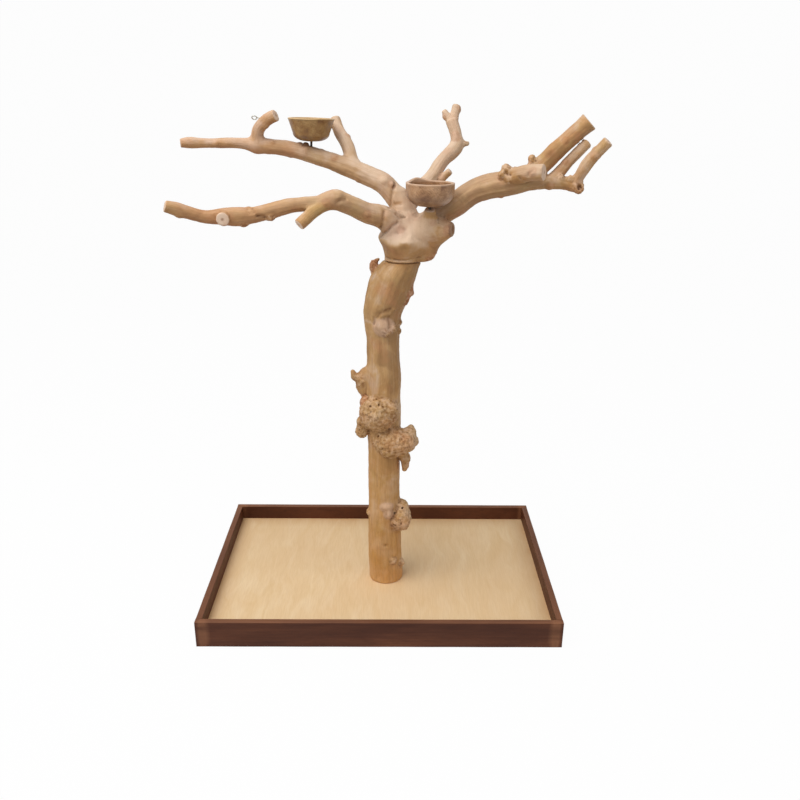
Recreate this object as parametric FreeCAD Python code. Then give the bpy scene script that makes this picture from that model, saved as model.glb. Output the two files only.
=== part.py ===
"""Parrot play stand: a natural-wood tree in two lengths on a framed tray, with two bowls and a toy eye.

Millimetres, +Z up, +X to the right and +Y to the back. The origin is the middle of the tray's footprint on the
floor. The trunk stands on the tray's panel and the crown turns on a rod in the trunk's top.
"""
import FreeCAD
import Part
import math
import os
from FreeCAD import Vector

os.makedirs("parts", exist_ok=True)

UP = Vector(0, 0, 1)
DOWN = Vector(0, 0, -1)

# Tray
tray_length = 914.0
tray_depth = 610.0
rail_height = 72.0
rail_thickness = 16.0
rail_edge_round = 1.5
panel_thickness = 9.0
groove_depth = 6.0
groove_play = 0.3
batten_height = 21.0
batten_width = 45.0
bearer_width = 140.0

# Corner dowels
dowel_diameter = 8.0
dowel_length = 40.0
dowel_in_rail = 10.0
dowel_heights = (11.0, 50.0)

# Screws through battens and bearer into the panel
panel_screw_diameter = 4.0
panel_screw_length = 27.0
panel_screw_head = 8.0
panel_screw_rows = 3
panel_screw_inset = 60.0

# Tree foot and its lag screws
foot_x = 14.0
foot_y = -28.0
foot_radius = 45.0
lag_diameter = 8.0
lag_length = 65.0
lag_head_flats = 13.0
lag_head_height = 5.5
lag_circle_radius = 26.0
lag_count = 4
washer_diameter = 20.0
washer_thickness = 1.6
counterbore_diameter = 22.0
counterbore_depth = 12.0

# Seam between trunk and crown, and the rod that joins them
seam_x = 51.0
seam_y = -28.0
seam_z = 918.0
seam_radius = 44.0
seam_gap = 0.3
rod_diameter = 12.0
rod_in_trunk = 70.0
rod_in_crown = 50.0
running_clearance = 0.05
insert_diameter = 18.0
insert_length = 30.0
insert_hole_depth = 56.0
rod_hole_play = 0.4

# Bowls: the outside measures of both, then each one's own
bowl_radius = 55.5
bowl_height = 49.0
bowl_wall = 8.0
bowl_floor = 11.0
bowl_foot_radius = 27.0
bowl_shoulder_height = 18.0
bowl_rim_ease = 1.5
left_bowl_shoulder_radius = 43.0
right_bowl_shoulder_radius = 47.0
left_bowl_lean = 1.4
right_bowl_rise = 7.0
right_bowl_rise_turn = 125.0
stud_diameter = 6.0
stud_in_wood = 24.0
stud_in_bowl = 8.0
bowl_insert_diameter = 10.0
bowl_insert_length = 9.0
left_bowl_gap = 10.0
right_bowl_gap = 5.0

# Toy eye
eye_ring_radius = 5.6
eye_wire = 2.4
eye_shank_length = 22.0
eye_ring_sweep = 335.0
eye_turn = 45.0

# Heights that follow from the tray
panel_bottom = batten_height
panel_top = panel_bottom + panel_thickness
inner_length = tray_length - 2 * rail_thickness
inner_depth = tray_depth - 2 * rail_thickness
crown_bottom = seam_z + seam_gap

# Sides of the rings that the wood is lofted through, their spacing, and the sides of small round hardware
limb_sides = 14
ring_spacing = 46.0
lump_sides = 12
lump_latitudes = (-72, -40, 0, 40, 72)
bowl_sides = 36
bowl_shoulder_steps = 4
hardware_sides = 10
eye_sides = 8
eye_steps = 14

# Trunk: centre and radius of its rings, measured from the foot's centre on the panel
TRUNK_RINGS = (
    (0, 0, 0, foot_radius),
    (-3, -1, 97, 45),
    (-6, -3, 268, 42),
    (-7, -3, 415, 42),
    (-6, -1, 568, 43),
    (-10, 0, 687, 40),
    (-11, -1, 765, 47),
    (3, -3, 812, 53),
    (17, -3, 858, 52),
)

# Burls and knots on the trunk: centre from the foot's centre on the panel, and the three half sizes
TRUNK_BURLS = (
    ("knot under the seam", (-31, 14, 868), (15, 15, 20)),
    ("bump on the upper right", (52, -4, 812), (14, 14, 10)),
    ("round front burl", (-11, -32, 735), (24, 22, 25)),
    ("spiky knob on the left", (-66, -4, 588), (22, 17, 19)),
    ("spike of the left knob", (-82, -6, 598), (8, 10, 13)),
    ("big burl", (-22, -22, 506), (46, 44, 44)),
    ("big burl, upper left lump", (-52, -18, 530), (16, 20, 18)),
    ("big burl, lower left lump", (-54, -16, 452), (18, 22, 26)),
    ("big burl, upper right lump", (14, -44, 532), (18, 22, 16)),
    ("second burl", (26, -32, 432), (54, 46, 36)),
    ("second burl, right lump", (68, -18, 424), (19, 22, 22)),
    ("second burl, lower front lump", (10, -50, 408), (22, 24, 18)),
    ("hanging lump", (53, -18, 372), (13, 15, 24)),
    ("right burl", (46, -8, 200), (25, 32, 44)),
    ("right burl, lower lump", (48, -16, 168), (18, 22, 18)),
    ("front knob", (5, -40, 216), (14, 15, 20)),
    ("right bump near the foot", (46, -6, 47), (11, 14, 13)),
    ("left bump near the foot", (-53, -6, 203), (10, 13, 12)),
)

# Crown: rings of the hub and of each limb, measured from the seam's centre at the crown's bottom face
HUB_RINGS = (
    (0, 0, 0, seam_radius),
    (1, 0, 6, seam_radius),
    (4, 0, 14, 51),
    (8, 0, 30, 63),
    (10, 1, 56, 72),
    (11, 4, 84, 63),
    (9, 8, 108, 40),
)
LIMBS = {
    "upper left limb": (
        (22, 13, 82, 34), (-3, 26, 127, 27), (-46, 42, 174, 24), (-84, 52, 191, 23), (-123, 60, 206, 22),
        (-199, 70, 231, 19), (-275, 72, 250, 18), (-350, 66, 258, 17), (-386, 60, 262, 13),
        (-423, 54, 263, 12), (-476, 42, 263, 12), (-494, 38, 264, 14), (-520, 32, 263, 11)),
    "stub behind the left bowl": (
        (-118, 61, 208, 16), (-134, 90, 258, 15), (-156, 130, 290, 14), (-168, 146, 318, 13)),
    "stub of the toy eye": (
        (-348, 66, 256, 15), (-341, 58, 293, 14), (-326, 52, 311, 14), (-296, 42, 326, 14)),
    "lower left limb": (
        (-12, -12, 74, 33), (-43, -28, 104, 28), (-82, -44, 117, 23), (-118, -58, 135, 22), (-160, -72, 150, 20),
        (-193, -80, 144, 16), (-249, -88, 139, 16), (-291, -92, 129, 19), (-354, -96, 115, 20),
        (-401, -100, 115, 18), (-444, -106, 114, 14), (-503, -122, 133, 14), (-526, -130, 140, 13)),
    "stub of the lower left limb": (
        (-151, -70, 154, 15), (-176, -84, 140, 12), (-203, -102, 125, 13), (-233, -122, 100, 13)),
    "centre limb": (
        (12, 26, 82, 26), (12, 40, 114, 23), (29, 56, 147, 20), (66, 84, 182, 17), (97, 114, 223, 17),
        (133, 140, 259, 18), (132, 150, 277, 15), (120, 168, 314, 15)),
    "centre limb, left tine": (
        (121, 167, 306, 11), (108, 174, 325, 9), (100, 178, 338, 6)),
    "centre limb, right tine": (
        (121, 167, 306, 12), (128, 178, 332, 11), (132, 188, 349, 10)),
    "twig of the centre limb": (
        (86, 90, 177, 10), (102, 86, 190, 9), (115, 82, 202, 8)),
    "right limb": (
        (42, 2, 78, 36), (98, 0, 118, 28), (127, -4, 135, 28), (167, -10, 165, 28), (203, -16, 177, 29),
        (233, -22, 183, 29), (272, -26, 193, 28), (316, -24, 197, 22)),
    "tall stub of the right limb": (
        (284, -24, 200, 22), (314, -16, 223, 21), (369, 6, 271, 20), (429, 32, 319, 20)),
    "front stub of the right limb": (
        (240, -34, 200, 20), (283, -64, 214, 19), (319, -90, 220, 19)),
    "right limb, far end": (
        (306, -24, 193, 20), (327, -22, 188, 16), (367, -20, 186, 15), (403, -24, 180, 14), (409, -25, 178, 14)),
    "middle twig": (
        (336, -20, 194, 14), (352, -12, 208, 13), (387, 2, 243, 13), (424, 18, 276, 13)),
    "right twig": (
        (389, -22, 180, 13), (403, -30, 199, 13), (410, -42, 237, 12), (433, -50, 262, 12), (455, -58, 283, 12)),
    "low stub on the right": (
        (58, -20, 80, 19), (86, -36, 82, 16), (114, -54, 82, 15)),
}
CROWN_KNOTS = (
    ("lump at the lower right", (58, -12, 24), (17, 17, 14)),
    ("sawn knot on the lower left limb", (-401, -114, 115), (15, 12, 14)),
    ("knot on the right limb", (230, -44, 208), (12, 14, 14)),
    ("side knot of the tall stub", (296, -30, 232), (11, 12, 13)),
    ("end knot of the right limb", (404, -34, 176), (15, 12, 15)),
)

# Places of the fittings on the crown, from the same seat
left_stud_place = (-219, 71, 258)
right_stud_place = (60, -64, 132)
right_pad_rings = ((50, -34, 84, 18), (58, -56, 112, 16), (60, -64, 132, 14))
twig_stump_rings = ((-231, 70, 240, 8), (-232, 68, 264, 7))
eye_place = (-348, 52, 320)


def at_foot(point):
    """A point measured from the foot's centre on the panel, in the frame of the whole stand."""
    return Vector(foot_x + point[0], foot_y + point[1], panel_top + point[2])


def at_seat(point):
    """A point measured from the seam's centre at the crown's bottom face, in the frame of the whole stand."""
    return Vector(seam_x + point[0], seam_y + point[1], crown_bottom + point[2])


def box(x0, x1, y0, y1, z0, z1):
    return Part.makeBox(x1 - x0, y1 - y0, z1 - z0, Vector(x0, y0, z0))


def post(radius, foot, height):
    return Part.makeCylinder(radius, height, foot, UP)


def many_sided(radius, sides, centre, side, across):
    """Points of a polygon inscribed in a circle that lies along the unit vectors side and across."""
    turns = [2 * math.pi * k / sides for k in range(sides)]
    return [centre + (side * math.cos(t) + across * math.sin(t)) * radius for t in turns]


def flat_face(points):
    return Part.Face(Part.makePolygon(points + points[:1]))


def skin(rings):
    """A solid through rings of equally many points: flat panels from ring to ring and a flat cap at each end."""
    faces = [flat_face(rings[0]), flat_face(rings[-1])]
    for low, high in zip(rings, rings[1:]):
        for k in range(len(low)):
            a, b, c, d = low[k - 1], low[k], high[k], high[k - 1]
            out_of_plane = abs((b - a).cross(d - a).dot(c - a))
            if out_of_plane < 1e-6:
                faces.append(flat_face([a, b, c, d]))
            else:
                faces += [flat_face([a, b, c]), flat_face([a, c, d])]
    shell = Part.makeShell(faces)
    shell.sewShape()
    solid = Part.makeSolid(shell)
    if solid.Volume < 0:
        solid.reverse()
    return solid


def peg(radius, foot, height, axis=UP):
    """A small round bar, drawn with a few flat sides."""
    side = Vector(axis.y, axis.z, axis.x)
    return flat_face(many_sided(radius, hardware_sides, foot, side, axis.cross(side))).extrude(axis * height)


def even_stations(stations):
    """Stations a ring_spacing or so apart, on a smooth Catmull-Rom curve through the given ones."""
    given = [list(stations[0])] + [list(s) for s in stations] + [list(stations[-1])]
    even = [tuple(stations[0])]
    for i in range(1, len(given) - 2):
        before, start, end, after = given[i - 1:i + 3]
        span = (Vector(*end[:3]) - Vector(*start[:3])).Length
        steps = max(1, round(span / ring_spacing))
        lead_in = (Vector(*start[:3]) - Vector(*before[:3])).Length or span
        lead_out = (Vector(*after[:3]) - Vector(*end[:3])).Length or span
        for k in range(1, steps + 1):
            t = k / steps
            point = []
            for a, b, c, d in zip(before, start, end, after):
                leave = (c - b) if i == 1 else ((b - a) * span / lead_in + (c - b)) / 2
                arrive = (c - b) if i == len(given) - 3 else ((c - b) + (d - c) * span / lead_out) / 2
                point.append((2 * t**3 - 3 * t**2 + 1) * b + (t**3 - 2 * t**2 + t) * leave
                             + (3 * t**2 - 2 * t**3) * c + (t**3 - t**2) * arrive)
            even.append(tuple(point))
    return even


def limb(rings, level_ends=False, sides=limb_sides):
    """A tapering limb, skinned over many-sided rings that stand square to the line of their centres.

    Each ring keeps the turn of the ring before it, so that the sides run along the limb without a twist.
    """
    centres = [Vector(*r[:3]) for r in rings]
    side = Vector(0.31, 0.87, 0.38)
    outlines = []
    for i, ring in enumerate(rings):
        heading = centres[min(i + 1, len(centres) - 1)] - centres[max(i - 1, 0)]
        if level_ends and i in (0, len(centres) - 1):
            heading = Vector(UP)
        heading.normalize()
        side = (side - heading * side.dot(heading)).normalize()
        outlines.append(many_sided(ring[3], sides, centres[i], side, heading.cross(side)))
    return skin(outlines)


def placed(stations, place):
    """Stations moved into the frame of the whole stand by at_foot or at_seat."""
    return [tuple(place(s)) + (s[3],) for s in stations]


def lump(centre, half_sizes):
    """An egg-shaped lump, skinned over rings at a few latitudes and cut flat just short of its poles."""
    half_x, half_y, half_z = half_sizes
    outlines = []
    for latitude in lump_latitudes:
        spread = math.cos(math.radians(latitude))
        level = centre + UP * half_z * math.sin(math.radians(latitude))
        outlines.append(many_sided(spread, lump_sides, level, Vector(half_x, 0, 0), Vector(0, half_y, 0)))
    return skin(outlines)


def hexagon(flats, height, foot):
    """A hexagonal bolt head of the given width over flats."""
    corner_radius = flats / math.sqrt(3)
    return flat_face(many_sided(corner_radius, 6, foot, Vector(1, 0, 0), Vector(0, 1, 0))).extrude(UP * height)


def turned(outline, sides):
    """A turned piece about Z, skinned over level rings of (radius, height)."""
    return skin([many_sided(r, sides, UP * z, Vector(1, 0, 0), Vector(0, 1, 0)) for r, z in outline])


def save(name, shapes):
    """One STEP file per node; a group of alike pieces stays separate solids."""
    shape = shapes[0] if len(shapes) == 1 else Part.makeCompound(shapes)
    shape.exportStep("parts/" + name + ".step")
    print(name, len(shape.Solids), "solid(s)", shape.isValid(), round(shape.Volume / 1000, 1), "cm3")


# ---------------------------------------------------------------- tray
def dowel_places():
    """Foot and direction of each corner dowel: from the front and back rails into the side rails."""
    for side in (-1, 1):
        x = side * (tray_length - rail_thickness) / 2
        for end in (-1, 1):
            y = end * (inner_depth / 2 + dowel_in_rail)
            for z in dowel_heights:
                yield Vector(x, y, z), Vector(0, -end, 0)


def dowel_holes():
    return [peg(dowel_diameter / 2, p, dowel_length, d) for p, d in dowel_places()]


def rail(x0, x1, y0, y1):
    """One board of the frame, its top edges eased, grooved for the panel and drilled for the dowels."""
    board = box(x0, x1, y0, y1, 0, rail_height)
    top_edges = [e for e in board.Edges if abs(e.CenterOfMass.z - rail_height) < 0.01
                 and e.Length > 2 * rail_thickness]
    board = board.makeChamfer(rail_edge_round, top_edges)
    reach = groove_depth
    groove = box(-inner_length / 2 - reach, inner_length / 2 + reach, -inner_depth / 2 - reach,
                 inner_depth / 2 + reach, panel_bottom, panel_top)
    return board.cut(groove).cut(Part.makeCompound(dowel_holes()))


half_length = tray_length / 2
half_depth = tray_depth / 2
save("front_rail", [rail(-half_length, half_length, -half_depth, -inner_depth / 2)])
save("back_rail", [rail(-half_length, half_length, inner_depth / 2, half_depth)])
save("left_rail", [rail(-half_length, -inner_length / 2, -inner_depth / 2, inner_depth / 2)])
save("right_rail", [rail(inner_length / 2, half_length, -inner_depth / 2, inner_depth / 2)])
save("corner_dowels", dowel_holes())

# Lag screws stand on a circle about the foot's centre.
lag_places = []
for k in range(lag_count):
    turn = 2 * math.pi * k / lag_count
    lag_places.append(Vector(foot_x + lag_circle_radius * math.cos(turn),
                             foot_y + lag_circle_radius * math.sin(turn), 0))

# Panel screws: three rows across the depth in each batten, two in the bearer clear of the lag screws.
batten_x = (inner_length - batten_width) / 2
screw_y = [(-1 + 2 * k / (panel_screw_rows - 1)) * (inner_depth / 2 - panel_screw_inset)
           for k in range(panel_screw_rows)]
screw_places = [Vector(side * batten_x, y, 0) for side in (-1, 1) for y in screw_y]
screw_places += [Vector(foot_x + side * bearer_width / 4, y, 0) for side in (-1, 1) for y in (screw_y[0], screw_y[-1])]


def panel_screw(place):
    """A countersunk screw, its head flush with the underside."""
    head = panel_screw_head / 2
    shank = panel_screw_diameter / 2
    outline = ((head, 0), (shank, head - shank), (shank, panel_screw_length))
    screw = turned(outline, hardware_sides)
    screw.translate(place)
    return screw


def lag_screw(place):
    """A hexagon lag screw, standing head down on its washer in the counterbore."""
    seat = counterbore_depth - washer_thickness
    shank = peg(lag_diameter / 2, place + UP * seat, lag_length)
    return hexagon(lag_head_flats, lag_head_height, place + UP * (seat - lag_head_height)).fuse(shank)


def lag_washer(place):
    foot = place + UP * (counterbore_depth - washer_thickness)
    return peg(washer_diameter / 2, foot, washer_thickness).cut(peg(lag_diameter / 2, foot, washer_thickness))


panel_screws = [panel_screw(p) for p in screw_places]
lag_screws = [lag_screw(p) for p in lag_places]
lag_holes = [peg(lag_diameter / 2, p, counterbore_depth + lag_length) for p in lag_places]
counterbores = [peg(counterbore_diameter / 2, p, counterbore_depth) for p in lag_places]

panel = box(-inner_length / 2 - groove_depth + groove_play, inner_length / 2 + groove_depth - groove_play,
            -inner_depth / 2 - groove_depth + groove_play, inner_depth / 2 + groove_depth - groove_play,
            panel_bottom, panel_top)
save("floor_panel", [panel.cut(Part.makeCompound(lag_holes + panel_screws))])
for name, side in (("left_batten", -1), ("right_batten", 1)):
    x = side * batten_x
    batten = box(x - batten_width / 2, x + batten_width / 2, -inner_depth / 2, inner_depth / 2, 0, batten_height)
    save(name, [batten.cut(Part.makeCompound(panel_screws))])
bearer = box(foot_x - bearer_width / 2, foot_x + bearer_width / 2, -inner_depth / 2, inner_depth / 2,
             0, batten_height)
save("centre_bearer", [bearer.cut(Part.makeCompound(counterbores + lag_holes + panel_screws))])
save("batten_screws", panel_screws)
save("trunk_lag_screws", lag_screws)
save("lag_washers", [lag_washer(p) for p in lag_places])

# ---------------------------------------------------------------- trunk
seam_centre = Vector(seam_x, seam_y, seam_z)
trunk_rings = placed(TRUNK_RINGS, at_foot) + [tuple(seam_centre) + (seam_radius,)]
trunk = limb(even_stations(trunk_rings), level_ends=True)
trunk = trunk.multiFuse([lump(at_foot(c), s) for _, c, s in TRUNK_BURLS])
rod_foot = seam_centre + DOWN * rod_in_trunk
rod_radius = rod_diameter / 2
over_seam = post(tray_depth, seam_centre, tray_depth)
trunk = trunk.cut(Part.makeCompound(lag_screws + [post(rod_radius, rod_foot, rod_in_trunk), over_seam]))
save("trunk", [trunk.Solids[0]])
save("crown_rod", [post(rod_radius, rod_foot, rod_in_trunk + rod_in_crown)])

# ---------------------------------------------------------------- crown
seat_centre = Vector(seam_x, seam_y, crown_bottom)


def insert(radius, length, bore_radius, foot):
    """A threaded bush: many-sided where it bites into the wood, round where it turns on its rod or stud."""
    return peg(radius, foot, length).cut(post(bore_radius, foot, length))


save("crown_insert", [insert(insert_diameter / 2, insert_length, rod_radius + running_clearance, seat_centre)])

bowls = {
    "left": dict(foot=at_seat(left_stud_place), lean=left_bowl_lean, between=left_bowl_gap,
                 shoulder=left_bowl_shoulder_radius, rise=0.0),
    "right": dict(foot=at_seat(right_stud_place), lean=0.0, between=right_bowl_gap,
                  shoulder=right_bowl_shoulder_radius, rise=right_bowl_rise),
}


def on_stud(shape, bowl):
    """A shape made upright about Z with the wood's surface at zero, moved on to the bowl's own stud."""
    moved = shape.copy()
    moved.rotate(Vector(0, 0, 0), Vector(0, 1, 0), bowl["lean"])
    moved.translate(bowl["foot"])
    return moved


def bowl_outline(bowl, wall, foot_height, top):
    """Radius and height of the bowl's rings, drawn in by wall: a round shoulder, then a straight flared side."""
    foot = bowl_foot_radius - wall / 2
    shoulder = bowl["shoulder"] - wall
    outline = []
    for k in range(bowl_shoulder_steps + 1):
        turn = math.pi / 2 * k / bowl_shoulder_steps
        outline.append((foot + (shoulder - foot) * math.sin(turn),
                        foot_height + (bowl_shoulder_height + wall / 2 - foot_height) * (1 - math.cos(turn))))
    flare = (bowl_radius - bowl["shoulder"]) / (bowl_height - bowl_shoulder_height)
    height = outline[-1][1]
    outline.append((shoulder + flare * (top - height), top))
    return outline


def make_bowl(bowl):
    """Turned bowl: outside less inside, the rim level or lifted to one side in a natural edge."""
    top = bowl_height + bowl["rise"]
    outside = bowl_outline(bowl, 0.0, 0.0, top)
    rim_radius = outside[-1][0]
    outside[-1:] = [(rim_radius, top - bowl_rim_ease), (rim_radius - bowl_rim_ease, top)]
    inside = bowl_outline(bowl, bowl_wall, bowl_floor, top)
    solid = turned(outside, bowl_sides).cut(turned(inside, bowl_sides))
    if bowl["rise"]:
        turn = math.radians(right_bowl_rise_turn)
        rim_point = Vector(math.cos(turn), math.sin(turn), 0) * bowl_radius + UP * bowl_height
        reach = 2 * bowl_radius
        above = box(-reach, reach, -reach, reach, bowl_height, top)
        solid = solid.cut(above.cut(lump(rim_point, (bowl_radius * 0.8, bowl_radius * 0.8, bowl["rise"] * 1.06))))
    solid = solid.cut(peg(bowl_insert_diameter / 2, Vector(0, 0, 0), bowl_insert_length))
    solid.translate(UP * bowl["between"])
    return on_stud(solid, bowl)


def make_stud(bowl):
    length = stud_in_wood + bowl["between"] + stud_in_bowl
    return on_stud(post(stud_diameter / 2, DOWN * stud_in_wood, length), bowl)


def make_bowl_insert(bowl):
    bore_radius = stud_diameter / 2 + running_clearance
    return on_stud(insert(bowl_insert_diameter / 2, bowl_insert_length, bore_radius, UP * bowl["between"]), bowl)


studs = {side: make_stud(bowl) for side, bowl in bowls.items()}


def make_toy_eye():
    """A screw eye: an open ring of wire, turned about its shank, and the shank that screws into its stub."""
    wire = eye_wire / 2
    centre = at_seat(eye_place)
    rings = []
    for k in range(eye_steps + 1):
        turn = math.radians(eye_ring_sweep * k / eye_steps)
        offset = Vector(math.cos(turn), 0, math.sin(turn)) * eye_ring_radius
        rings.append(tuple(centre + offset) + (wire,))
    shank_start = centre + Vector(eye_ring_radius - wire / 2, 0, 0)
    shank = peg(wire, shank_start, eye_shank_length, Vector(1, 0, 0))
    eye = limb(rings, sides=eye_sides).fuse(shank)
    eye.rotate(centre, Vector(1, 0, 0), eye_turn)
    shank.rotate(centre, Vector(1, 0, 0), eye_turn)
    return eye.Solids[0], shank


toy_eye, eye_shank = make_toy_eye()
save("toy_eye", [toy_eye])

hub_rings = even_stations(placed(HUB_RINGS, at_seat))
hub = skin([many_sided(r[3], limb_sides, Vector(*r[:3]), Vector(1, 0, 0), Vector(0, 1, 0)) for r in hub_rings])
members = [limb(even_stations(placed(rings, at_seat))) for rings in LIMBS.values()]
members += [limb(placed(right_pad_rings, at_seat), level_ends=True), limb(placed(twig_stump_rings, at_seat))]
members += [lump(at_seat(c), s) for _, c, s in CROWN_KNOTS]
crown = hub.multiFuse(members)
rod_hole = post(rod_radius + rod_hole_play, seat_centre, insert_hole_depth)
insert_hole = peg(insert_diameter / 2, seat_centre, insert_length)
crown = crown.cut(Part.makeCompound([rod_hole, insert_hole, eye_shank] + list(studs.values())))
save("crown", [max(crown.Solids, key=lambda s: s.Volume)])

for side, bowl in bowls.items():
    save(side + "_bowl", [make_bowl(bowl)])
    save(side + "_bowl_insert", [make_bowl_insert(bowl)])
    save(side + "_bowl_stud", [studs[side]])
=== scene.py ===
"""Parrot play stand: the looks of the framed tray, the two lengths of natural wood, the bowls and the
toy eye.

Metres, +Z up, the same frame as the solids. Surfaces are worked out with numpy, materials are
procedural."""

import itertools
import math

import bpy
import numpy as np
from mathutils import Matrix


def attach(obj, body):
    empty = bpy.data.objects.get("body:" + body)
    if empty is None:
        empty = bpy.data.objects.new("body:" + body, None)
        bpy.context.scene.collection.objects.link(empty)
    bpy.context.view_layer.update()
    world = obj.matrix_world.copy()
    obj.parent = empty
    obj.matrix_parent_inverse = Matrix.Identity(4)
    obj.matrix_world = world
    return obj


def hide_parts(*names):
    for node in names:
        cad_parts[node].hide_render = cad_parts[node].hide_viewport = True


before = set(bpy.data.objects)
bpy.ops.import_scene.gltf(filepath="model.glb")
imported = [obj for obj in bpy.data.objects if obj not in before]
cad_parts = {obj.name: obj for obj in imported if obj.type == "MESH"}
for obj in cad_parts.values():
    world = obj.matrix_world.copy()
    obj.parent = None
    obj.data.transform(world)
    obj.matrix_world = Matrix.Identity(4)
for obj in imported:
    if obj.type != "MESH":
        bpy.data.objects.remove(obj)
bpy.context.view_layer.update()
scene = bpy.context.scene
scene.view_settings.view_transform = "Standard"

# ---------------------------------------------------------------- camera
# A camera a little above the tree's height, two metres in front, that looks down on the tray.
focal_pixels, picture_pixels, sensor_mm = 803.2, 800.0, 36.0
eye_at = (0.025, -1.960, 1.298)
look_down, look_left, roll = math.radians(21.0), math.radians(0.69), math.radians(0.58)

flat_right = np.array((math.cos(look_left), -math.sin(look_left), 0.0))
flat_ahead = np.array((math.sin(look_left), math.cos(look_left), 0.0))
straight_up = np.array((0.0, 0.0, 1.0))
ahead = math.cos(look_down) * flat_ahead - math.sin(look_down) * straight_up
overhead = math.sin(look_down) * flat_ahead + math.cos(look_down) * straight_up
to_right = math.cos(roll) * flat_right + math.sin(roll) * overhead
to_top = math.cos(roll) * overhead - math.sin(roll) * flat_right

camera_data = bpy.data.cameras.new("camera")
camera_data.sensor_width = sensor_mm
camera_data.lens = focal_pixels / picture_pixels * sensor_mm
camera_data.clip_end = 50.0
camera = bpy.data.objects.new("camera", camera_data)
turn = np.eye(4)
turn[:3, 0], turn[:3, 1], turn[:3, 2], turn[:3, 3] = to_right, to_top, -ahead, eye_at
camera.matrix_world = Matrix(turn.tolist())
scene.collection.objects.link(camera)
scene.camera = camera


# ---------------------------------------------------------------- floor, backdrop and lamps
# A plain pale floor that runs up into a white backdrop, under a wide soft lamp from the upper left front
# and a weaker one from the right.
def linear(red, green, blue):
    """A colour given in 0-255 screen values, as the linear values that a shader takes."""
    c = np.array((red, green, blue)) / 255.0
    return (*np.where(c <= 0.04045, c / 12.92, ((c + 0.055) / 1.055) ** 2.4), 1.0)


class Nodes:
    """A node tree, with short calls that add and wire its nodes."""

    def __init__(self, tree):
        self.tree = tree

    def put(self, node, key, value):
        """Wires a socket where the value is one, and otherwise sets the node's own value."""
        socket = node.inputs[key]
        if isinstance(value, bpy.types.NodeSocket):
            self.tree.links.new(value, socket)
        else:
            socket.default_value = value

    def add(self, kind, inputs=None, **settings):
        node = self.tree.nodes.new("ShaderNode" + kind)
        for key, value in settings.items():
            setattr(node, key, value)
        for key, value in (inputs or {}).items():
            self.put(node, key, value)
        return node

    def sum(self, kind, *values):
        return self.add("Math", dict(enumerate(values)), operation=kind).outputs[0]

    def times(self, a, b):
        return self.sum("MULTIPLY", a, b)

    def seen(self):
        """1 for a ray from the camera, also by way of a mirror or through glass, and 0 for one that
        lights."""
        rays = self.add("LightPath").outputs
        bent = self.sum("MAXIMUM", rays["Is Glossy Ray"], rays["Is Transmission Ray"])
        return self.sum("MAXIMUM", rays["Is Camera Ray"], bent)


class Finish(Nodes):
    """A material of one Principled shader, with short calls for its textures and colours."""

    def __init__(self, name):
        self.material = bpy.data.materials.new(name)
        self.material.use_nodes = True
        super().__init__(self.material.node_tree)
        self.shader = self.tree.nodes["Principled BSDF"]

    def place(self):
        return self.add("TexCoord").outputs["Object"]

    def stored(self, name, output="Fac"):
        return self.add("Attribute", attribute_name=name).outputs[output]

    def split(self, vector):
        return self.add("SeparateXYZ", {"Vector": vector}).outputs

    def stretch(self, vector, scale, turn=(0, 0, 0)):
        return self.add("Mapping", {"Vector": vector, "Scale": scale, "Rotation": turn}).outputs[0]

    def shift(self, vector, offset):
        return self.add("Mapping", {"Vector": vector, "Location": offset}).outputs[0]

    def noise(self, vector, scale, detail=4.0, rough=0.55, bend=0.0):
        return self.add("TexNoise", {"Vector": vector, "Scale": scale, "Detail": detail, "Roughness": rough,
                                     "Distortion": bend}).outputs["Fac"]

    def ramp(self, value, *stops):
        """Colours or greys at places along 0-1; a grey stop is one number."""
        node = self.add("ValToRGB", {"Fac": value})
        points = node.color_ramp.elements
        while len(points) < len(stops):
            points.new(0.5)
        for point, (at, shade) in zip(points, stops):
            point.position = at
            point.color = shade if isinstance(shade, tuple) else (shade, shade, shade, 1.0)
        return node.outputs["Color"]

    def mix(self, share, under, over, blend="MIX"):
        return self.add("Mix", {0: share, 6: under, 7: over}, data_type="RGBA", blend_type=blend).outputs[2]

    def tint(self, under, value, low, high, shade, where=None):
        """Lays a shade over a colour, by a share that a ramp of the value gives, only where another
        value says."""
        share = self.ramp(value, low, high)
        if where is not None:
            share = self.times(share, where)
        return self.mix(share, under, linear(*shade))

    def bump(self, height, depth, strength=1.0, under=None):
        inputs = {"Height": height, "Distance": depth, "Strength": strength}
        if under is not None:
            inputs["Normal"] = under
        return self.add("Bump", inputs).outputs[0]

    def done(self, colour, normal=None, **sockets):
        self.put(self.shader, "Base Color", colour)
        if normal is not None:
            self.put(self.shader, "Normal", normal)
        for key, value in sockets.items():
            self.put(self.shader, key.replace("_", " "), value)
        return self.material


floor_half, backdrop_radius, backdrop_height = 6.0, 1.5, 5.0
floor_white = 0.80
glow_share = 0.97

bend = np.linspace(0, math.pi / 2, 24)
bend_y = floor_half - backdrop_radius + backdrop_radius * np.sin(bend)
profile_y = np.concatenate(([-floor_half], bend_y, [floor_half]))
profile_z = np.concatenate(([0.0], backdrop_radius * (1 - np.cos(bend)), [backdrop_height]))
sweep_x = np.array((-floor_half, floor_half))
backdrop_points = np.stack((np.repeat(sweep_x, len(profile_y)), np.tile(profile_y, 2),
                            np.tile(profile_z, 2)), axis=1)
k = np.arange(len(profile_y) - 1)
backdrop_faces = np.stack((k, k + len(profile_y), k + len(profile_y) + 1, k + 1), axis=1)
backdrop_mesh = bpy.data.meshes.new("floor")
backdrop_mesh.from_pydata(backdrop_points.tolist(), [], backdrop_faces.tolist())
backdrop_mesh.polygons.foreach_set("use_smooth", np.ones(len(backdrop_faces), bool))
floor = bpy.data.objects.new("floor", backdrop_mesh)
scene.collection.objects.link(floor)

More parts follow.
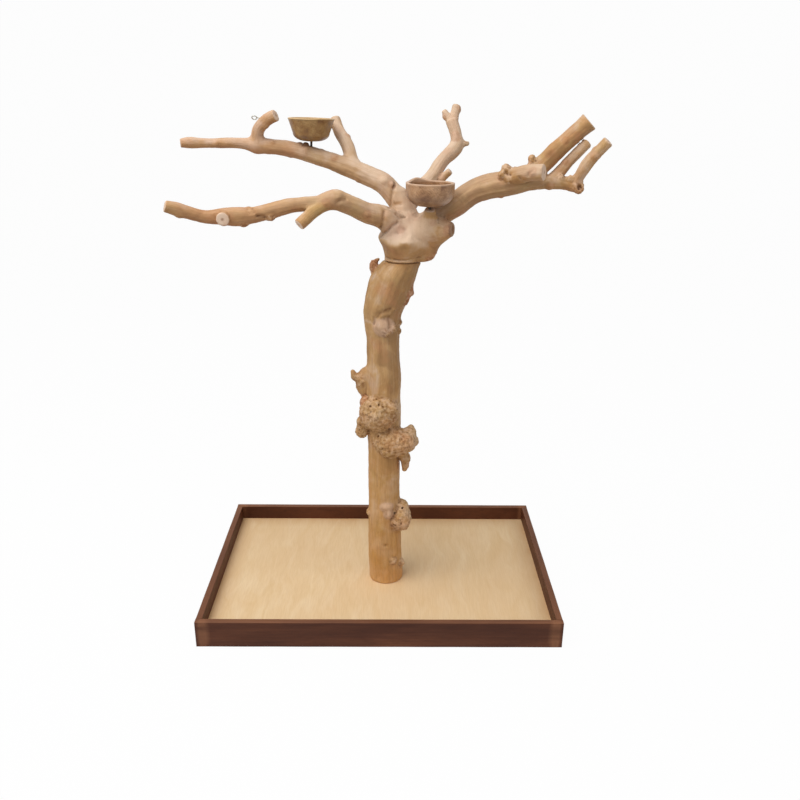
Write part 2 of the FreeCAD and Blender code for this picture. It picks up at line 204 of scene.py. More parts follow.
floor_finish = Finish("pale_floor")
floor_finish.done((floor_white, floor_white, floor_white, 1.0), Roughness=0.9)
glow = floor_finish.add("Emission", {"Color": (1, 1, 1, 1), "Strength": 1.0}).outputs[0]
blend_shader = floor_finish.add("MixShader", {0: floor_finish.times(floor_finish.seen(), glow_share),
                                              1: floor_finish.shader.outputs[0], 2: glow}).outputs[0]
floor_finish.put(floor_finish.tree.nodes["Material Output"], "Surface", blend_shader)
floor.data.materials.append(floor_finish.material)

world_light, world_seen = 0.30, 0.97
scene.world = bpy.data.worlds.new("studio")
scene.world.use_nodes = True
sky = Nodes(scene.world.node_tree)
background = sky.tree.nodes["Background"]
sky.put(background, "Color", (1, 1, 1, 1))
sky.put(background, "Strength", sky.sum("MULTIPLY_ADD", sky.seen(), world_seen - world_light, world_light))


def unit(ways):
    """One or more directions, brought to length 1."""
    return ways / np.maximum(np.linalg.norm(ways, axis=-1, keepdims=True), 1e-12)


def soft_lamp(name, at, towards, width, watts):
    """A square area lamp at a point, its face turned towards another."""
    data = bpy.data.lights.new(name, "AREA")
    data.size, data.energy = width, watts
    lamp = bpy.data.objects.new(name, data)
    back = unit(np.array(at) - np.array(towards))
    side = unit(np.cross(straight_up, back))
    matrix = np.eye(4)
    matrix[:3, 0], matrix[:3, 1], matrix[:3, 2], matrix[:3, 3] = side, np.cross(back, side), back, at
    lamp.matrix_world = Matrix(matrix.tolist())
    scene.collection.objects.link(lamp)


tree_middle = (0.0, 0.0, 0.7)
soft_lamp("key_lamp", (-1.1, -1.0, 3.1), tree_middle, 2.8, 92.0)
soft_lamp("side_lamp", (2.4, -1.2, 1.9), tree_middle, 1.8, 11.0)

# ---------------------------------------------------------------- tray rails
# Four hardwood boards, stained dark brown, grooved inside for the panel. The front and back boards run the
# full width and the side boards butt between them, glued and dowelled.
mm = 0.001
rail_height, rail_thickness, rail_ease = 72 * mm, 16 * mm, 1.6 * mm
groove_low, groove_high, groove_depth = 21 * mm, 30 * mm, 6 * mm
tray_length, tray_depth = 914 * mm, 610 * mm
# The colour of stain rubbed thin on the edges, also painted as a sheen over the boards' top, within a
# height below it.
worn_and_sheen_colour, sheen_height = (146, 98, 68), 10 * mm


def grid_mesh(name, points, close_round=False, cap_ends=False, smooth=True, attributes=None):
    """A mesh from a grid of points (rows, columns, 3): each face joins two neighbours of two
    neighbouring rows.

    close_round joins the last column to the first, cap_ends closes the first and last row with one face
    each."""
    rows, columns = points.shape[:2]
    last = columns if close_round else columns - 1
    r, c = np.meshgrid(np.arange(rows - 1), np.arange(last), indexing="ij")
    after = (c + 1) % columns
    quads = np.stack((r * columns + c, r * columns + after, (r + 1) * columns + after,
                      (r + 1) * columns + c), axis=-1)
    faces = quads.reshape(-1, 4).tolist()
    if cap_ends:
        faces.append(list(range(columns))[::-1])
        faces.append([(rows - 1) * columns + c for c in range(columns)])
    mesh = bpy.data.meshes.new(name)
    mesh.from_pydata(points.reshape(-1, 3).tolist(), [], faces)
    mesh.polygons.foreach_set("use_smooth", np.full(len(mesh.polygons), smooth))
    for key, values in (attributes or {}).items():
        store(mesh, key, values.reshape(rows * columns, -1))
    mesh.update()
    return mesh


def bar_mesh(name, points, smooth=True, attributes=None):
    """A mesh from rings of points, closed round and capped at both ends."""
    return grid_mesh(name, points, True, True, smooth, attributes)


def store(mesh, key, values):
    """Keeps a number or a vector for each point of a mesh, for its material to read."""
    values = np.asarray(values, np.float32)
    vector = values.ndim > 1 and values.shape[1] == 3
    layer = mesh.attributes.new(key, "FLOAT_VECTOR" if vector else "FLOAT", "POINT")
    layer.data.foreach_set("vector" if vector else "value", values.ravel())


def place_piece(mesh, body, finish, node):
    """Shows a mesh as a piece of the same name that rides on a body, with its finish and the
    node that it replaces."""
    piece = bpy.data.objects.new(mesh.name, mesh)
    scene.collection.objects.link(piece)
    mesh.materials.append(finish)
    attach(piece, body)
    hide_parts(node)


def board_section():
    """A board's section across its length: a rectangle with quarter-round corners, and a groove on the
    far side.

    Points go round from the lower near corner, (across, up), with the groove cut square into the far
    side."""
    turn = np.linspace(0, math.pi / 2, 5)
    corner = np.stack((1 - np.cos(turn), 1 - np.sin(turn)), axis=1) * rail_ease
    near_top = np.stack((corner[:, 0], rail_height - corner[:, 1]), axis=1)
    far_top = np.stack((rail_thickness - corner[::-1, 0], rail_height - corner[::-1, 1]), axis=1)
    groove = np.array(((rail_thickness, groove_high), (rail_thickness - groove_depth, groove_high),
                       (rail_thickness - groove_depth, groove_low), (rail_thickness, groove_low)))
    small = rail_ease * 0.4
    near_low = np.array(((small, 0.0), (0.0, small)))
    far_low = np.array(((rail_thickness, small), (rail_thickness - small, 0.0)))
    face = np.linspace(0.12, 0.88, 7)[:, None]
    near_face = near_low[-1] + (near_top[0] - near_low[-1]) * face
    return np.concatenate((near_low, near_face, near_top, far_top, groove, far_low))


def make_board(name, start, along, across, length, stop):
    """A board: its section carried along a straight line, drawn in a hair at both ends, with a faint
    waviness of the planed faces. The groove is shut where it is nearer to an end than stop, so that it
    doesn't show on that end."""
    section = board_section()
    ends, hair = np.array((0.0, 0.6, 1.6)) * mm, 0.02 * mm
    reach = np.concatenate((ends, np.linspace(10 * mm, length - 10 * mm, 60), length - ends[::-1]))
    if stop:
        reach = np.sort(np.append(reach, (stop - hair, stop, length - stop, length - stop + hair)))
    sections = np.repeat(section[None], len(reach), axis=0)
    shut = (reach < stop - hair / 2) | (reach > length - stop + hair / 2)
    deep = np.isclose(section[:, 0], rail_thickness - groove_depth)
    sections[np.ix_(shut, deep, [0])] = rail_thickness - 2 * hair
    size = np.ones((len(reach), 1, 1))
    size[[0, -1]] = 0.9964
    size[[1, -2]] = 0.9991
    middle = section.mean(axis=0)
    ripple = 0.12 * mm * np.sin(reach[:, None] * 41 + section[None, :, 1] * 90)
    flat = middle + (sections - middle) * size
    points = (np.array(start) + reach[:, None, None] * np.array(along)
              + (flat[..., :1] + ripple[..., None]) * np.array(across) + flat[..., 1:] * straight_up)
    if np.dot(np.cross(along, across), straight_up) < 0:
        points = points[:, ::-1]
    grain = np.stack((np.broadcast_to(reach[:, None], points.shape[:2]), flat[..., 0], flat[..., 1]),
                     axis=-1)
    return bar_mesh(name, points, smooth=False, attributes={"grain": grain})


def stained_finish(name, offset):
    """Dark stain over close-grained wood: long streaks along the board, fine pores, stain rubbed thin on
    edges, and a painted sheen that lightens the top face."""
    f = Finish(name)
    grain = f.shift(f.stored("grain", "Vector"), offset)
    broad = f.noise(f.stretch(grain, (1.1, 9.0, 9.0)), 3.0, 3.0, 0.5, 0.4)
    streak = f.noise(f.stretch(grain, (2.2, 38.0, 38.0)), 5.0, 7.0, 0.62, 0.6)
    pores = f.noise(f.stretch(grain, (14.0, 420.0, 420.0)), 4.0, 3.0, 0.6)
    colour = f.ramp(broad, (0.30, linear(72, 36, 20)), (0.52, linear(92, 51, 31)),
                    (0.74, linear(110, 64, 40)))
    colour = f.tint(colour, streak, (0.38, 0.0), (0.66, 0.45), (66, 34, 22))
    colour = f.tint(colour, pores, (0.56, 0.0), (0.70, 0.5), (42, 22, 15))
    edge = f.add("NewGeometry").outputs["Pointiness"]
    rubbed = f.ramp(broad, (0.35, 0.35), (0.6, 1.0))
    colour = f.tint(colour, edge, (0.515, 0.0), (0.60, 0.7), worn_and_sheen_colour, rubbed)
    # Painted sheen: the top of each board is lightened, as light from above would show it.
    near_top = f.sum("MULTIPLY_ADD", f.split(f.place())[2], 1 / sheen_height, 1 - rail_height / sheen_height)
    rubbed = f.ramp(broad, (0.35, 0.55), (0.6, 1.0))
    colour = f.tint(colour, near_top, (0.88, 0.0), (0.97, 0.55), worn_and_sheen_colour, rubbed)
    rough = f.sum("MULTIPLY_ADD", streak, 0.22, 0.42)
    height = f.mix(0.35, f.ramp(streak, (0.3, 0.0), (0.7, 1.0)), f.ramp(pores, (0.5, 1.0), (0.72, 0.0)))
    return f.done(colour, f.bump(height, 0.00035, 0.5), Roughness=rough, Specular_IOR_Level=0.20,
                  Coat_Weight=0.02, Coat_Roughness=0.35)


half_length, half_depth = tray_length / 2, tray_depth / 2
side_length = tray_depth - 2 * rail_thickness
east, west, north, south = (1, 0, 0), (-1, 0, 0), (0, 1, 0), (0, -1, 0)
groove_stop = rail_thickness - groove_depth
boards = (
    ("front_rail", (-half_length, -half_depth, 0), east, north, tray_length, groove_stop),
    ("back_rail", (-half_length, half_depth, 0), east, south, tray_length, groove_stop),
    ("left_rail", (-half_length, -side_length / 2, 0), north, east, side_length, 0.0),
    ("right_rail", (half_length, -side_length / 2, 0), north, west, side_length, 0.0))
for number, (node, *lie) in enumerate(boards):
    stain = stained_finish(node + "_stain", (number * 0.7, number * 0.3, 0))
    place_piece(make_board(node + "_board", *lie), "base", stain, node)


# ---------------------------------------------------------------- tray panel, battens and bearer
# A sheet of pale plywood let into the rails' grooves, with planed softwood battens and a wide bearer
# screwed on from below. These stay as the solids show them, and get their finish here.
def sheet_finish():
    """Rotary-cut face veneer: wide wavy figure across the sheet, faint blotches, fine pores, and painted
    shade that darkens it next to the rails."""
    f = Finish("pale_plywood")
    at = f.place()
    warp = f.noise(at, 5.0, 3.0, 0.5)
    wavy = f.mix(0.10, at, f.add("CombineXYZ", {0: warp, 1: warp, 2: 0.0}).outputs[0], "ADD")
    figure = f.noise(f.stretch(wavy, (9.0, 1.6, 1.0)), 3.2, 5.0, 0.55, 1.2)
    blotch = f.noise(at, 4.2, 3.0, 0.6)
    fine = f.noise(f.stretch(at, (240.0, 12.0, 12.0)), 2.0, 3.0, 0.6)
    colour = f.ramp(figure, (0.25, linear(226, 192, 144)), (0.50, linear(232, 201, 157)),
                    (0.75, linear(238, 211, 172)))
    colour = f.tint(colour, blotch, (0.38, 0.0), (0.66, 0.5), (226, 190, 144))
    colour = f.tint(colour, fine, (0.42, 0.18), (0.56, 0.0), (206, 168, 122))
    # Painted shade: the sheet turns darker next to the rails, broken up by noise.
    x, y, _ = f.split(at)
    off_x = f.sum("SUBTRACT", half_length - rail_thickness, f.sum("ABSOLUTE", x))
    off_y = f.sum("SUBTRACT", half_depth - rail_thickness, f.sum("ABSOLUTE", y))
    near_rail = f.sum("MINIMUM", off_x, off_y)
    edge = f.times(f.ramp(f.times(near_rail, 10.0), (0.0, 0.75), (0.18, 0.30), (0.55, 0.0)),
                   f.ramp(f.noise(at, 9.0, 3.0), (0.3, 0.5), (0.7, 1.0)))
    colour = f.mix(edge, colour, linear(201, 152, 101))
    return f.done(colour, f.bump(fine, 0.0002, 0.35), Roughness=0.56, Specular_IOR_Level=0.35)


def softwood_finish(name):
    """Planed softwood: straight early and late wood bands along the piece and a few pores."""
    f = Finish(name)
    at = f.place()
    bands = f.noise(f.stretch(at, (34.0, 1.4, 34.0)), 3.0, 3.0, 0.5, 0.5)
    fine = f.noise(f.stretch(at, (300.0, 9.0, 300.0)), 2.0, 2.0)
    colour = f.ramp(bands, (0.38, linear(226, 194, 146)), (0.55, linear(212, 172, 120)),
                    (0.64, linear(186, 138, 88)))
    colour = f.tint(colour, fine, (0.45, 0.25), (0.6, 0.0), (172, 126, 82))
    return f.done(colour, f.bump(fine, 0.0002, 0.4), Roughness=0.6, Specular_IOR_Level=0.35)


def refinish(node, finish):
    """Gives a node of the solids a new finish."""
    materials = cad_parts[node].data.materials
    materials.clear()
    materials.append(finish)


refinish("floor_panel", sheet_finish())
bare_softwood = softwood_finish("bare_softwood")
for node in ("left_batten", "right_batten", "centre_bearer", "corner_dowels"):
    refinish(node, bare_softwood)

# ----------------------------------------------------------- screws, lag screws and washers under the tray
# Bright zinc-plated steel: countersunk cross-recess screws in the battens and bearer, and four hexagon lag
# screws on plain washers that hold the trunk. They show only from below.
foot_x, foot_y = 14 * mm, -28 * mm


def steel_finish(name, shade, rough=0.32):
    """Plated steel: a faint cloudy tint, fine turning marks and small scratches."""
    f = Finish(name)
    at = f.place()
    cloud = f.noise(at, 160.0, 3.0)
    marks = f.noise(f.stretch(at, (900.0, 900.0, 90.0)), 1.0, 2.0)
    darker = tuple(c * 0.72 for c in shade[:3]) + (1.0,)
    colour = f.mix(f.ramp(cloud, (0.35, 0.0), (0.7, 0.8)), shade, darker)
    rough_map = f.sum("MULTIPLY_ADD", cloud, 0.25, rough - 0.1)
    return f.done(colour, f.bump(marks, 0.00005, 0.5), Metallic=1.0, Roughness=rough_map)


def turned_points(outline, sides, centre, flats=0.0):
    """A turned surface: each (radius, height) of the outline goes round in sides steps about a vertical
    line, drawn in to a hexagon by flats, from 0 to 1."""
    outline = np.array(outline, float)
    turn = np.arange(sides) / sides * 2 * math.pi
    sixth = math.pi / 3
    hexagon = math.cos(sixth / 2) / np.cos((turn % sixth) - sixth / 2)
    radius = outline[:, :1] * (1 + flats * (hexagon - 1))
    x, y = radius * np.cos(turn), radius * np.sin(turn)
    return np.stack((x, y, np.broadcast_to(outline[:, 1:2], x.shape)), axis=-1) + np.array(centre)


def leaned(points, lean, centre):
    """Points tipped over about Y by lean, in radians, and then moved to a centre."""
    x, y, z = np.moveaxis(points, -1, 0)
    tipped = (x * math.cos(lean) + z * math.sin(lean), y, z * math.cos(lean) - x * math.sin(lean))
    return np.stack(tipped, axis=-1) + np.array(centre)


def thread_points(radius, pitch, depth, low, high, centre, lean=0.0, taper=0.0):
    """A screw thread: a bar whose radius dips as a rounded saw along a helix of the given pitch, faded
    at both ends. taper is the length over which the upper end runs out to a point."""
    sides, steps = 18, 7
    z = np.linspace(low, high, max(3, int((high - low) / pitch * steps)))[:, None]
    turn = (np.arange(sides) / sides * 2 * math.pi)[None, :]
    phase = (z / pitch - turn / (2 * math.pi)) % 1.0
    dip = np.abs(2 * phase - 1) ** 1.3
    fade = np.clip(np.minimum(z - low, high - z) / pitch, 0, 1)
    point = np.clip((high - z) / taper, 0.12, 1) if taper else 1.0
    r = (radius - depth * (1 - dip) * fade) * point
    return leaned(np.stack((r * np.cos(turn), r * np.sin(turn), np.broadcast_to(z, r.shape)), axis=-1),
                  lean, centre)


def joined(name, meshes):
    """One mesh from several: their points and faces one after another, then the loose ones are dropped."""
    points, faces, smooth, count = [], [], [], 0
    for mesh in meshes:
        xyz = np.empty(len(mesh.vertices) * 3)
        mesh.vertices.foreach_get("co", xyz)
        points.append(xyz.reshape(-1, 3))
        faces += [[v + count for v in polygon.vertices] for polygon in mesh.polygons]
        smooth += [polygon.use_smooth for polygon in mesh.polygons]
        count += len(mesh.vertices)
        bpy.data.meshes.remove(mesh)
    whole = bpy.data.meshes.new(name)
    whole.from_pydata(np.concatenate(points).tolist(), [], faces)
    whole.polygons.foreach_set("use_smooth", smooth)
    whole.update()
    return whole


zinc = steel_finish("zinc_steel", linear(196, 198, 200))
screw_head, screw_shank, screw_length = 4.0 * mm, 2.0 * mm, 27.0 * mm
recess_depth, recess_arm = 1.6 * mm, 2.1 * mm
batten_x = (tray_length - 2 * rail_thickness - 45 * mm) / 2
row_y = (side_length / 2 - 60 * mm) * np.array((-1.0, 0.0, 1.0))
screw_places = [(side * batten_x, y, 0.0) for side in (-1, 1) for y in row_y]
screw_places += [(foot_x + side * 35 * mm, y, 0.0) for side in (-1, 1) for y in (row_y[0], row_y[2])]


def countersunk_head(centre):
    """A flat cone head, its face drawn in to a cross-shaped recess: depth falls off with distance from
    two arms."""
    rings = np.concatenate((np.linspace(0.2 * mm, screw_head * 0.9, 12), (screw_head * 0.97, screw_head)))
    turn = np.arange(48) / 48 * 2 * math.pi
    x, y = rings[:, None] * np.cos(turn), rings[:, None] * np.sin(turn)
    arm = np.minimum(np.abs(x), np.abs(y))
    inside = np.clip((0.55 * mm - arm) / (0.25 * mm), 0, 1)
    inside = inside * np.clip((recess_arm - rings[:, None]) / (0.4 * mm), 0, 1)
    face = np.stack((x, y, inside * recess_depth * (1 - rings[:, None] / recess_arm * 0.4)), axis=-1)
    cone = turned_points(((screw_head, 0.15 * mm), (screw_shank, screw_head - screw_shank)), 48, (0, 0, 0))
    return np.concatenate((face, cone)) + np.array(centre)


parts = []
for place in screw_places:
    shank = thread_points(screw_shank, 1.6 * mm, 0.55 * mm, 1.5 * mm, screw_length, place, taper=4 * mm)
    parts += [bar_mesh("head", countersunk_head(place)[:, ::-1][::-1]), bar_mesh("shank", shank)]
place_piece(joined("batten_screw_set", parts), "base", zinc, "batten_screws")

lag_circle, lag_corner, lag_shank, lag_length = 26 * mm, 13 * mm / math.sqrt(3), 4 * mm, 65 * mm
washer_low, washer_high, washer_ease = 10.4 * mm, 12 * mm, 0.25 * mm
washer_hole, washer_radius = 4.4 * mm, 10 * mm
head_low = washer_low - 5.5 * mm
head_outline = ((lag_corner * 0.15, head_low + 0.3 * mm), (lag_corner * 0.80, head_low),
                (lag_corner, head_low + 0.7 * mm), (lag_corner, washer_low))
washer_outline = (
    (washer_hole, washer_low), (washer_radius - washer_ease, washer_low),
    (washer_radius, washer_low + washer_ease), (washer_radius, washer_high - washer_ease),
    (washer_radius - washer_ease, washer_high), (washer_hole, washer_high), (washer_hole, washer_low))
parts, washers = [], []
for turn in np.arange(4) * math.pi / 2:
    place = (foot_x + lag_circle * math.cos(turn), foot_y + lag_circle * math.sin(turn), 0.0)
    shank = thread_points(lag_shank, 3.2 * mm, 1.0 * mm, washer_low, washer_low + lag_length, place,
                          taper=8 * mm)
    parts.append(bar_mesh("head", turned_points(head_outline, 48, place, flats=1.0), smooth=False))
    parts.append(bar_mesh("shank", shank))
    washers.append(grid_mesh("ring", turned_points(washer_outline, 40, place), close_round=True))
place_piece(joined("trunk_lag_screw_set", parts), "base", zinc, "trunk_lag_screws")
place_piece(joined("lag_washer_set", washers), "base", zinc, "lag_washers")

# ---------------------------------------------------------------- trunk
# One natural log, barked and sandblasted, that stands on the panel. Its burls are masses of small knobs,
# and its top is sawn level, where the crown turns on it.
panel_top, seam_z, seam_gap = 30 * mm, 918 * mm, 0.3 * mm
foot = np.array((foot_x, foot_y, panel_top))
# A distance that stands for far outside the wood.
far = 1.0

# Centre and radius of the log's rings in mm, from the foot's centre on the panel; the last is the sawn top.
TRUNK_RINGS = (
    (0, 0, -8, 46.5), (0, 0, 0, 46), (-3, -1, 97, 45), (-6, -3, 268, 42), (-7, -3, 415, 42),
    (-10, -2, 540, 46), (-8, -1, 590, 43.5), (-10, 0, 687, 40), (-11, -1, 765, 47), (3, -3, 812, 53),
    (19, -3, 858, 53), (37, 0, 888, 44), (50, 1, 908, 42))

# Burls and knots in mm: centre from the foot's centre, half sizes, how many small knobs of which radii, and
# the tint of those that aren't plain.
TRUNK_BURLS = (
    ((-34, 18, 868), (9, 14, 16), 14, (3, 5), "ruddy"),
    ((50, -14, 813), (14, 15, 12), 16, (3, 5), "ruddy"),
    ((43, -16, 794), (9, 9, 10), 7, (2, 4), "ruddy"),
    ((40, -46, 821), (4, 3, 3), 0, (2, 3)),
    ((-8, -34, 733), (21, 20, 21), 0, (4, 7), "rosy"),
    ((2, -48, 720), (9, 7, 9), 7, (2, 4)),
    ((18, -38, 727), (6, 6, 8), 3, (2, 4)),
    ((31, -6, 734), (6, 8, 5), 3, (2, 3)),
    ((30, -6, 712), (5, 8, 5), 3, (2, 3)),
    ((-53, -6, 586), (20, 18, 30), 0, (3, 6)),
    ((-65, -6, 584), (15, 14, 17), 22, (3, 6)),
    ((-20, -32, 503), (48, 40, 46), 140, (5, 9)),
    ((-54, -20, 530), (13, 17, 14), 16, (4, 7), "ruddy"),
    ((-56, -22, 474), (17, 19, 18), 36, (4, 8)),
    ((-63, -22, 450), (14, 17, 18), 40, (4, 8)),
    ((10, -46, 512), (15, 18, 20), 22, (4, 8)),
    ((22, -32, 424), (54, 42, 34), 130, (5, 9)),
    ((62, -18, 440), (15, 16, 18), 20, (4, 7)),
    ((72, -18, 418), (11, 13, 11), 12, (3, 6)),
    ((10, -50, 404), (22, 20, 16), 16, (5, 9)),
    ((50, -18, 372), (11, 13, 14), 12, (4, 8)),
    ((40, -22, 194), (27, 30, 34), 80, (5, 10)),
    ((42, -12, 226), (18, 20, 16), 20, (4, 8)),
    ((2, -44, 238), (14, 9, 8), 0, (3, 5), "rosy"),
    ((7, -46, 219), (9, 10, 10), 0, (3, 5), "rosy"),
    ((44, -14, 50), (7, 11, 9), 5, (3, 4)),
    ((22, -42, 70), (5, 5, 6), 3, (2, 4)),
    ((-48, -6, 203), (6, 9, 6), 4, (2, 4)),
)
# Pointed and hanging knobs in mm: centres and radii along each, from the foot's centre.
TRUNK_SPIKES = (
    ((-68, -6, 586, 13), (-81, -6, 592, 10), (-86, -6, 605, 5.5)),
    ((-58, -6, 588, 13), (-62, -6, 600, 8), (-60, -6, 604, 5)),
    ((-62, -8, 578, 14), (-68, -9, 566, 11), (-66, -10, 556, 8)),
    ((-60, -8, 566, 12), (-56, -8, 548, 12), (-52, -8, 534, 9)),
    ((-32, 22, 874, 8), (-26, 26, 882, 5), (-22, 27, 885, 4)),
    ((54, -20, 442, 14), (62, -14, 450, 11), (63, -12, 455, 8)),
    ((56, -20, 426, 16), (70, -18, 424, 9), (78, -17, 426, 4)),
    ((42, -20, 386, 15), (49, -20, 366, 12), (50, -18, 348, 11), (48, -18, 339, 8)),
    ((50, -14, 812, 9), (61, -10, 808, 4)),
)
# Hollows in mm: centre from the foot's centre and half sizes.
TRUNK_HOLLOWS = (((0, -47, 122), (5, 4, 4)), ((0, -53, 219), (3, 4, 5)), ((20, -47, 640), (9, 4, 60)),
                 ((-30, -40, 300), (7, 4, 80)), ((24, -44, 330), (7, 4, 70)))
# Folds over the smooth dome, as the camera sees them: picture pixels along each, its radius and depth in
# mm. A ridge has a depth below nought.
TRUNK_FOLDS = ((((373.5, 324), (374.5, 319), (378, 315.5), (383, 312.5), (390, 310.5)), 6.0, 2.6),
               (((382, 316.3), (385, 314.8), (389, 313.6)), 4.5, -2.2),
               (((386.5, 311.6), (390, 310), (394.5, 309.2)), 4.5, -2.2),
               (((389, 320), (391, 325), (390.5, 331)), 6.0, 2.0))


def smooth_limb(stations, step):
    """Points and radii about step apart: cubic pieces through the stations, whose slopes are the mean of
    the runs before and after, each scaled to the length of its own run."""
    given = np.array(stations, float) * mm
    run = np.diff(given, axis=0)
    length = np.linalg.norm(run[:, :3], axis=1)
    ratio = (length[1:] / length[:-1])[:, None]
    leave = np.concatenate((run[:1], (run[:-1] * ratio + run[1:]) / 2))
    arrive = np.concatenate(((run[:-1] + run[1:] / ratio) / 2, run[-1:]))
    pieces = []
    for i, span in enumerate(length):
        t = np.linspace(0, 1, max(2, round(span / step)), endpoint=False)[:, None]
        pieces.append((2 * t**3 - 3 * t**2 + 1) * given[i] + (t**3 - 2 * t**2 + t) * leave[i]
                      + (3 * t**2 - 2 * t**3) * given[i + 1] + (t**3 - t**2) * arrive[i])
    return np.concatenate(pieces + [given[-1:]])


def empty_field(low, high, voxel):
    """A grid of distances to the wood's surface, negative inside, that starts far outside everywhere."""
    low = np.array(low, float)
    counts = np.ceil((np.array(high) - low) / voxel).astype(int) + 1
    axes = [low[a] + voxel * np.arange(counts[a]) for a in range(3)]
    return {"axes": axes, "voxel": voxel, "low": low, "far": np.full(counts, far, np.float32)}


def window(axes, low, high):
    """The slices of a grid that hold a box, and the three axes there, shaped to spread over each other."""
    cut = [slice(*np.searchsorted(axes[a], (low[a], high[a]))) for a in range(3)]
    x, y, z = (axes[a][cut[a]].astype(np.float32) for a in range(3))
    return tuple(cut), x[:, None, None], y[None, :, None], z[None, None, :]


def soft_min(a, b, softness):
    """The lower of two distances, rounded off where they are within softness of each other."""
    blend = np.maximum(softness - np.abs(a - b), 0) / softness
    return np.minimum(a, b) - blend * blend * softness / 4


def soft_max(a, b, softness):
    """The higher of two distances, rounded off in the same way."""
    return -soft_min(-a, -b, softness)


def merge(field, cut, shape, softness, hollow):
    """Joins a shape to the wood in one part of the grid, or scoops it out, blended over softness."""
    whole = field["far"][cut]
    field["far"][cut] = soft_max(whole, -shape, softness) if hollow else soft_min(whole, shape, softness)


def rings_at(origin, rings, step=0.0):
    """A limb's rings in metres, given in mm from an origin, and smoothed where a step is given."""
    return (smooth_limb(rings, step) if step else np.array(rings) * mm) + np.array((*origin, 0.0))


def egg_at(origin, centre, half):
    """A lump's centre and half sizes in metres, given in mm from an origin."""
    return origin + np.array(centre) * mm, np.array(half) * mm


def add_limb(field, rings, softness, *sawn, hollow=False):
    """Joins a limb to the wood: the least distance to the round bars between neighbouring rings, cut
    flat at its sawn ends (a point and an outward direction), and blended over softness where it meets
    the rest. A hollow one is scooped out instead."""
    reach = softness + 2.5 * field["voxel"]
    low = (rings[:, :3] - rings[:, 3:] - reach).min(axis=0)
    high = (rings[:, :3] + rings[:, 3:] + reach).max(axis=0)
    cut, *_ = window(field["axes"], low, high)
    own_axes = [field["axes"][a][cut[a]] for a in range(3)]
    own = np.full([len(axis) for axis in own_axes], far, np.float32)
    for start, end in zip(rings[:-1], rings[1:]):
        margin = max(start[3], end[3]) + reach
        inner, x, y, z = window(own_axes, np.minimum(start, end)[:3] - margin,
                                np.maximum(start, end)[:3] + margin)
        run = end[:3] - start[:3]
        dx, dy, dz = x - np.float32(start[0]), y - np.float32(start[1]), z - np.float32(start[2])
        share = (dx * run[0] + dy * run[1] + dz * run[2]) / np.float32(run @ run)
        t = np.clip(share, 0, 1).astype(np.float32)
        gap = np.sqrt((dx - t * run[0]) ** 2 + (dy - t * run[1]) ** 2 + (dz - t * run[2]) ** 2)
        gap -= start[3] + t * (end[3] - start[3])
        np.minimum(own[inner], gap, out=own[inner])
    x, y, z = np.ix_(*own_axes)
    for at, out in sawn:
        beyond = (x - at[0]) * out[0] + (y - at[1]) * out[1] + (z - at[2]) * out[2]
        own = soft_max(own, beyond.astype(np.float32), saw_round)
    merge(field, cut, own, softness, hollow)


def seen_at(field, pixel):
    """The place on the wood that the camera sees at a pixel, and the way there: the first one along its
    ray that lies inside."""
    off_x, off_y = pixel[0] - picture_pixels / 2, pixel[1] - picture_pixels / 2
    way = ahead + (to_right * off_x - to_top * off_y) / focal_pixels
    ray = np.array(eye_at) + np.arange(1.5, 2.5, 0.3 * mm)[:, None] * way
    cell = np.round((ray - field["low"]) / field["voxel"]).astype(int)
    held = ((cell >= 0) & (cell < field["far"].shape)).all(axis=1)
    depth = field["far"][tuple(cell[held].T)]
    first = np.argmax(depth < 0) if depth.min() < 0 else np.argmin(depth)
    return ray[held][first], way


def add_fold(field, pixels, radius, depth):
    """Scoops a groove of a round section out of the wood along a row of pixels, or lays a ridge on it
    where the depth is below nought, and returns the places on it."""
    seen = [seen_at(field, pixel) for pixel in pixels]
    lift = math.copysign(radius - abs(depth), depth)
    add_limb(field, np.array([(*(at - way * lift), radius) for at, way in seen]), 4 * mm, hollow=depth > 0)
    return np.array([at for at, _ in seen])


def egg_distance(x, y, z, centre, half):
    """About how far a point is from an egg-shaped surface."""
    dx, dy, dz = x - centre[0], y - centre[1], z - centre[2]
    k0 = np.sqrt((dx / half[0]) ** 2 + (dy / half[1]) ** 2 + (dz / half[2]) ** 2)
    k1 = np.sqrt((dx / half[0] ** 2) ** 2 + (dy / half[1] ** 2) ** 2 + (dz / half[2] ** 2) ** 2)
    return k0 * (k0 - 1) / np.maximum(k1, 1e-6)


def add_egg(field, centre, half, softness, hollow=False):
    """Joins an egg-shaped lump to the wood, or scoops one out of it, blended over softness."""
    reach = softness + 2.5 * field["voxel"]
    cut, x, y, z = window(field["axes"], centre - half - reach, centre + half + reach)
    merge(field, cut, egg_distance(x, y, z, centre, half).astype(np.float32), softness, hollow)


def add_burl(field, centre, half, knobs, sizes, dice):
    """A burl: an egg under a few broad lumps and a crowd of small round knobs, set at random all over it
    and pressed into each other, with a small pit here and there."""
    add_egg(field, centre, half, 10 * mm)
    for count, low, high, sunk, softness in ((knobs // 7, 1.1 * sizes[1], 1.6 * sizes[1], 0.72, 5.0),
                                             (2 * knobs, 0.8 * sizes[0], 0.7 * sizes[1], 0.60, 2.2)):
        out = unit(dice.normal(size=(count, 3)))
        for way, r in zip(out, dice.uniform(low, high, count) * mm):
            squat = np.array((r, r, r)) * dice.uniform(0.7, 1.3, 3)
            add_egg(field, centre + way * (half - sunk * r), squat, softness * mm)
    for way in unit(dice.normal(size=(knobs // 5, 3))):
        r = dice.uniform(1.6, 3.0) * mm
        pit = np.array((r, r, r * dice.uniform(1.0, 2.0)))
        add_egg(field, centre + way * (half + 0.3 * r), pit, 2 * mm, hollow=True)


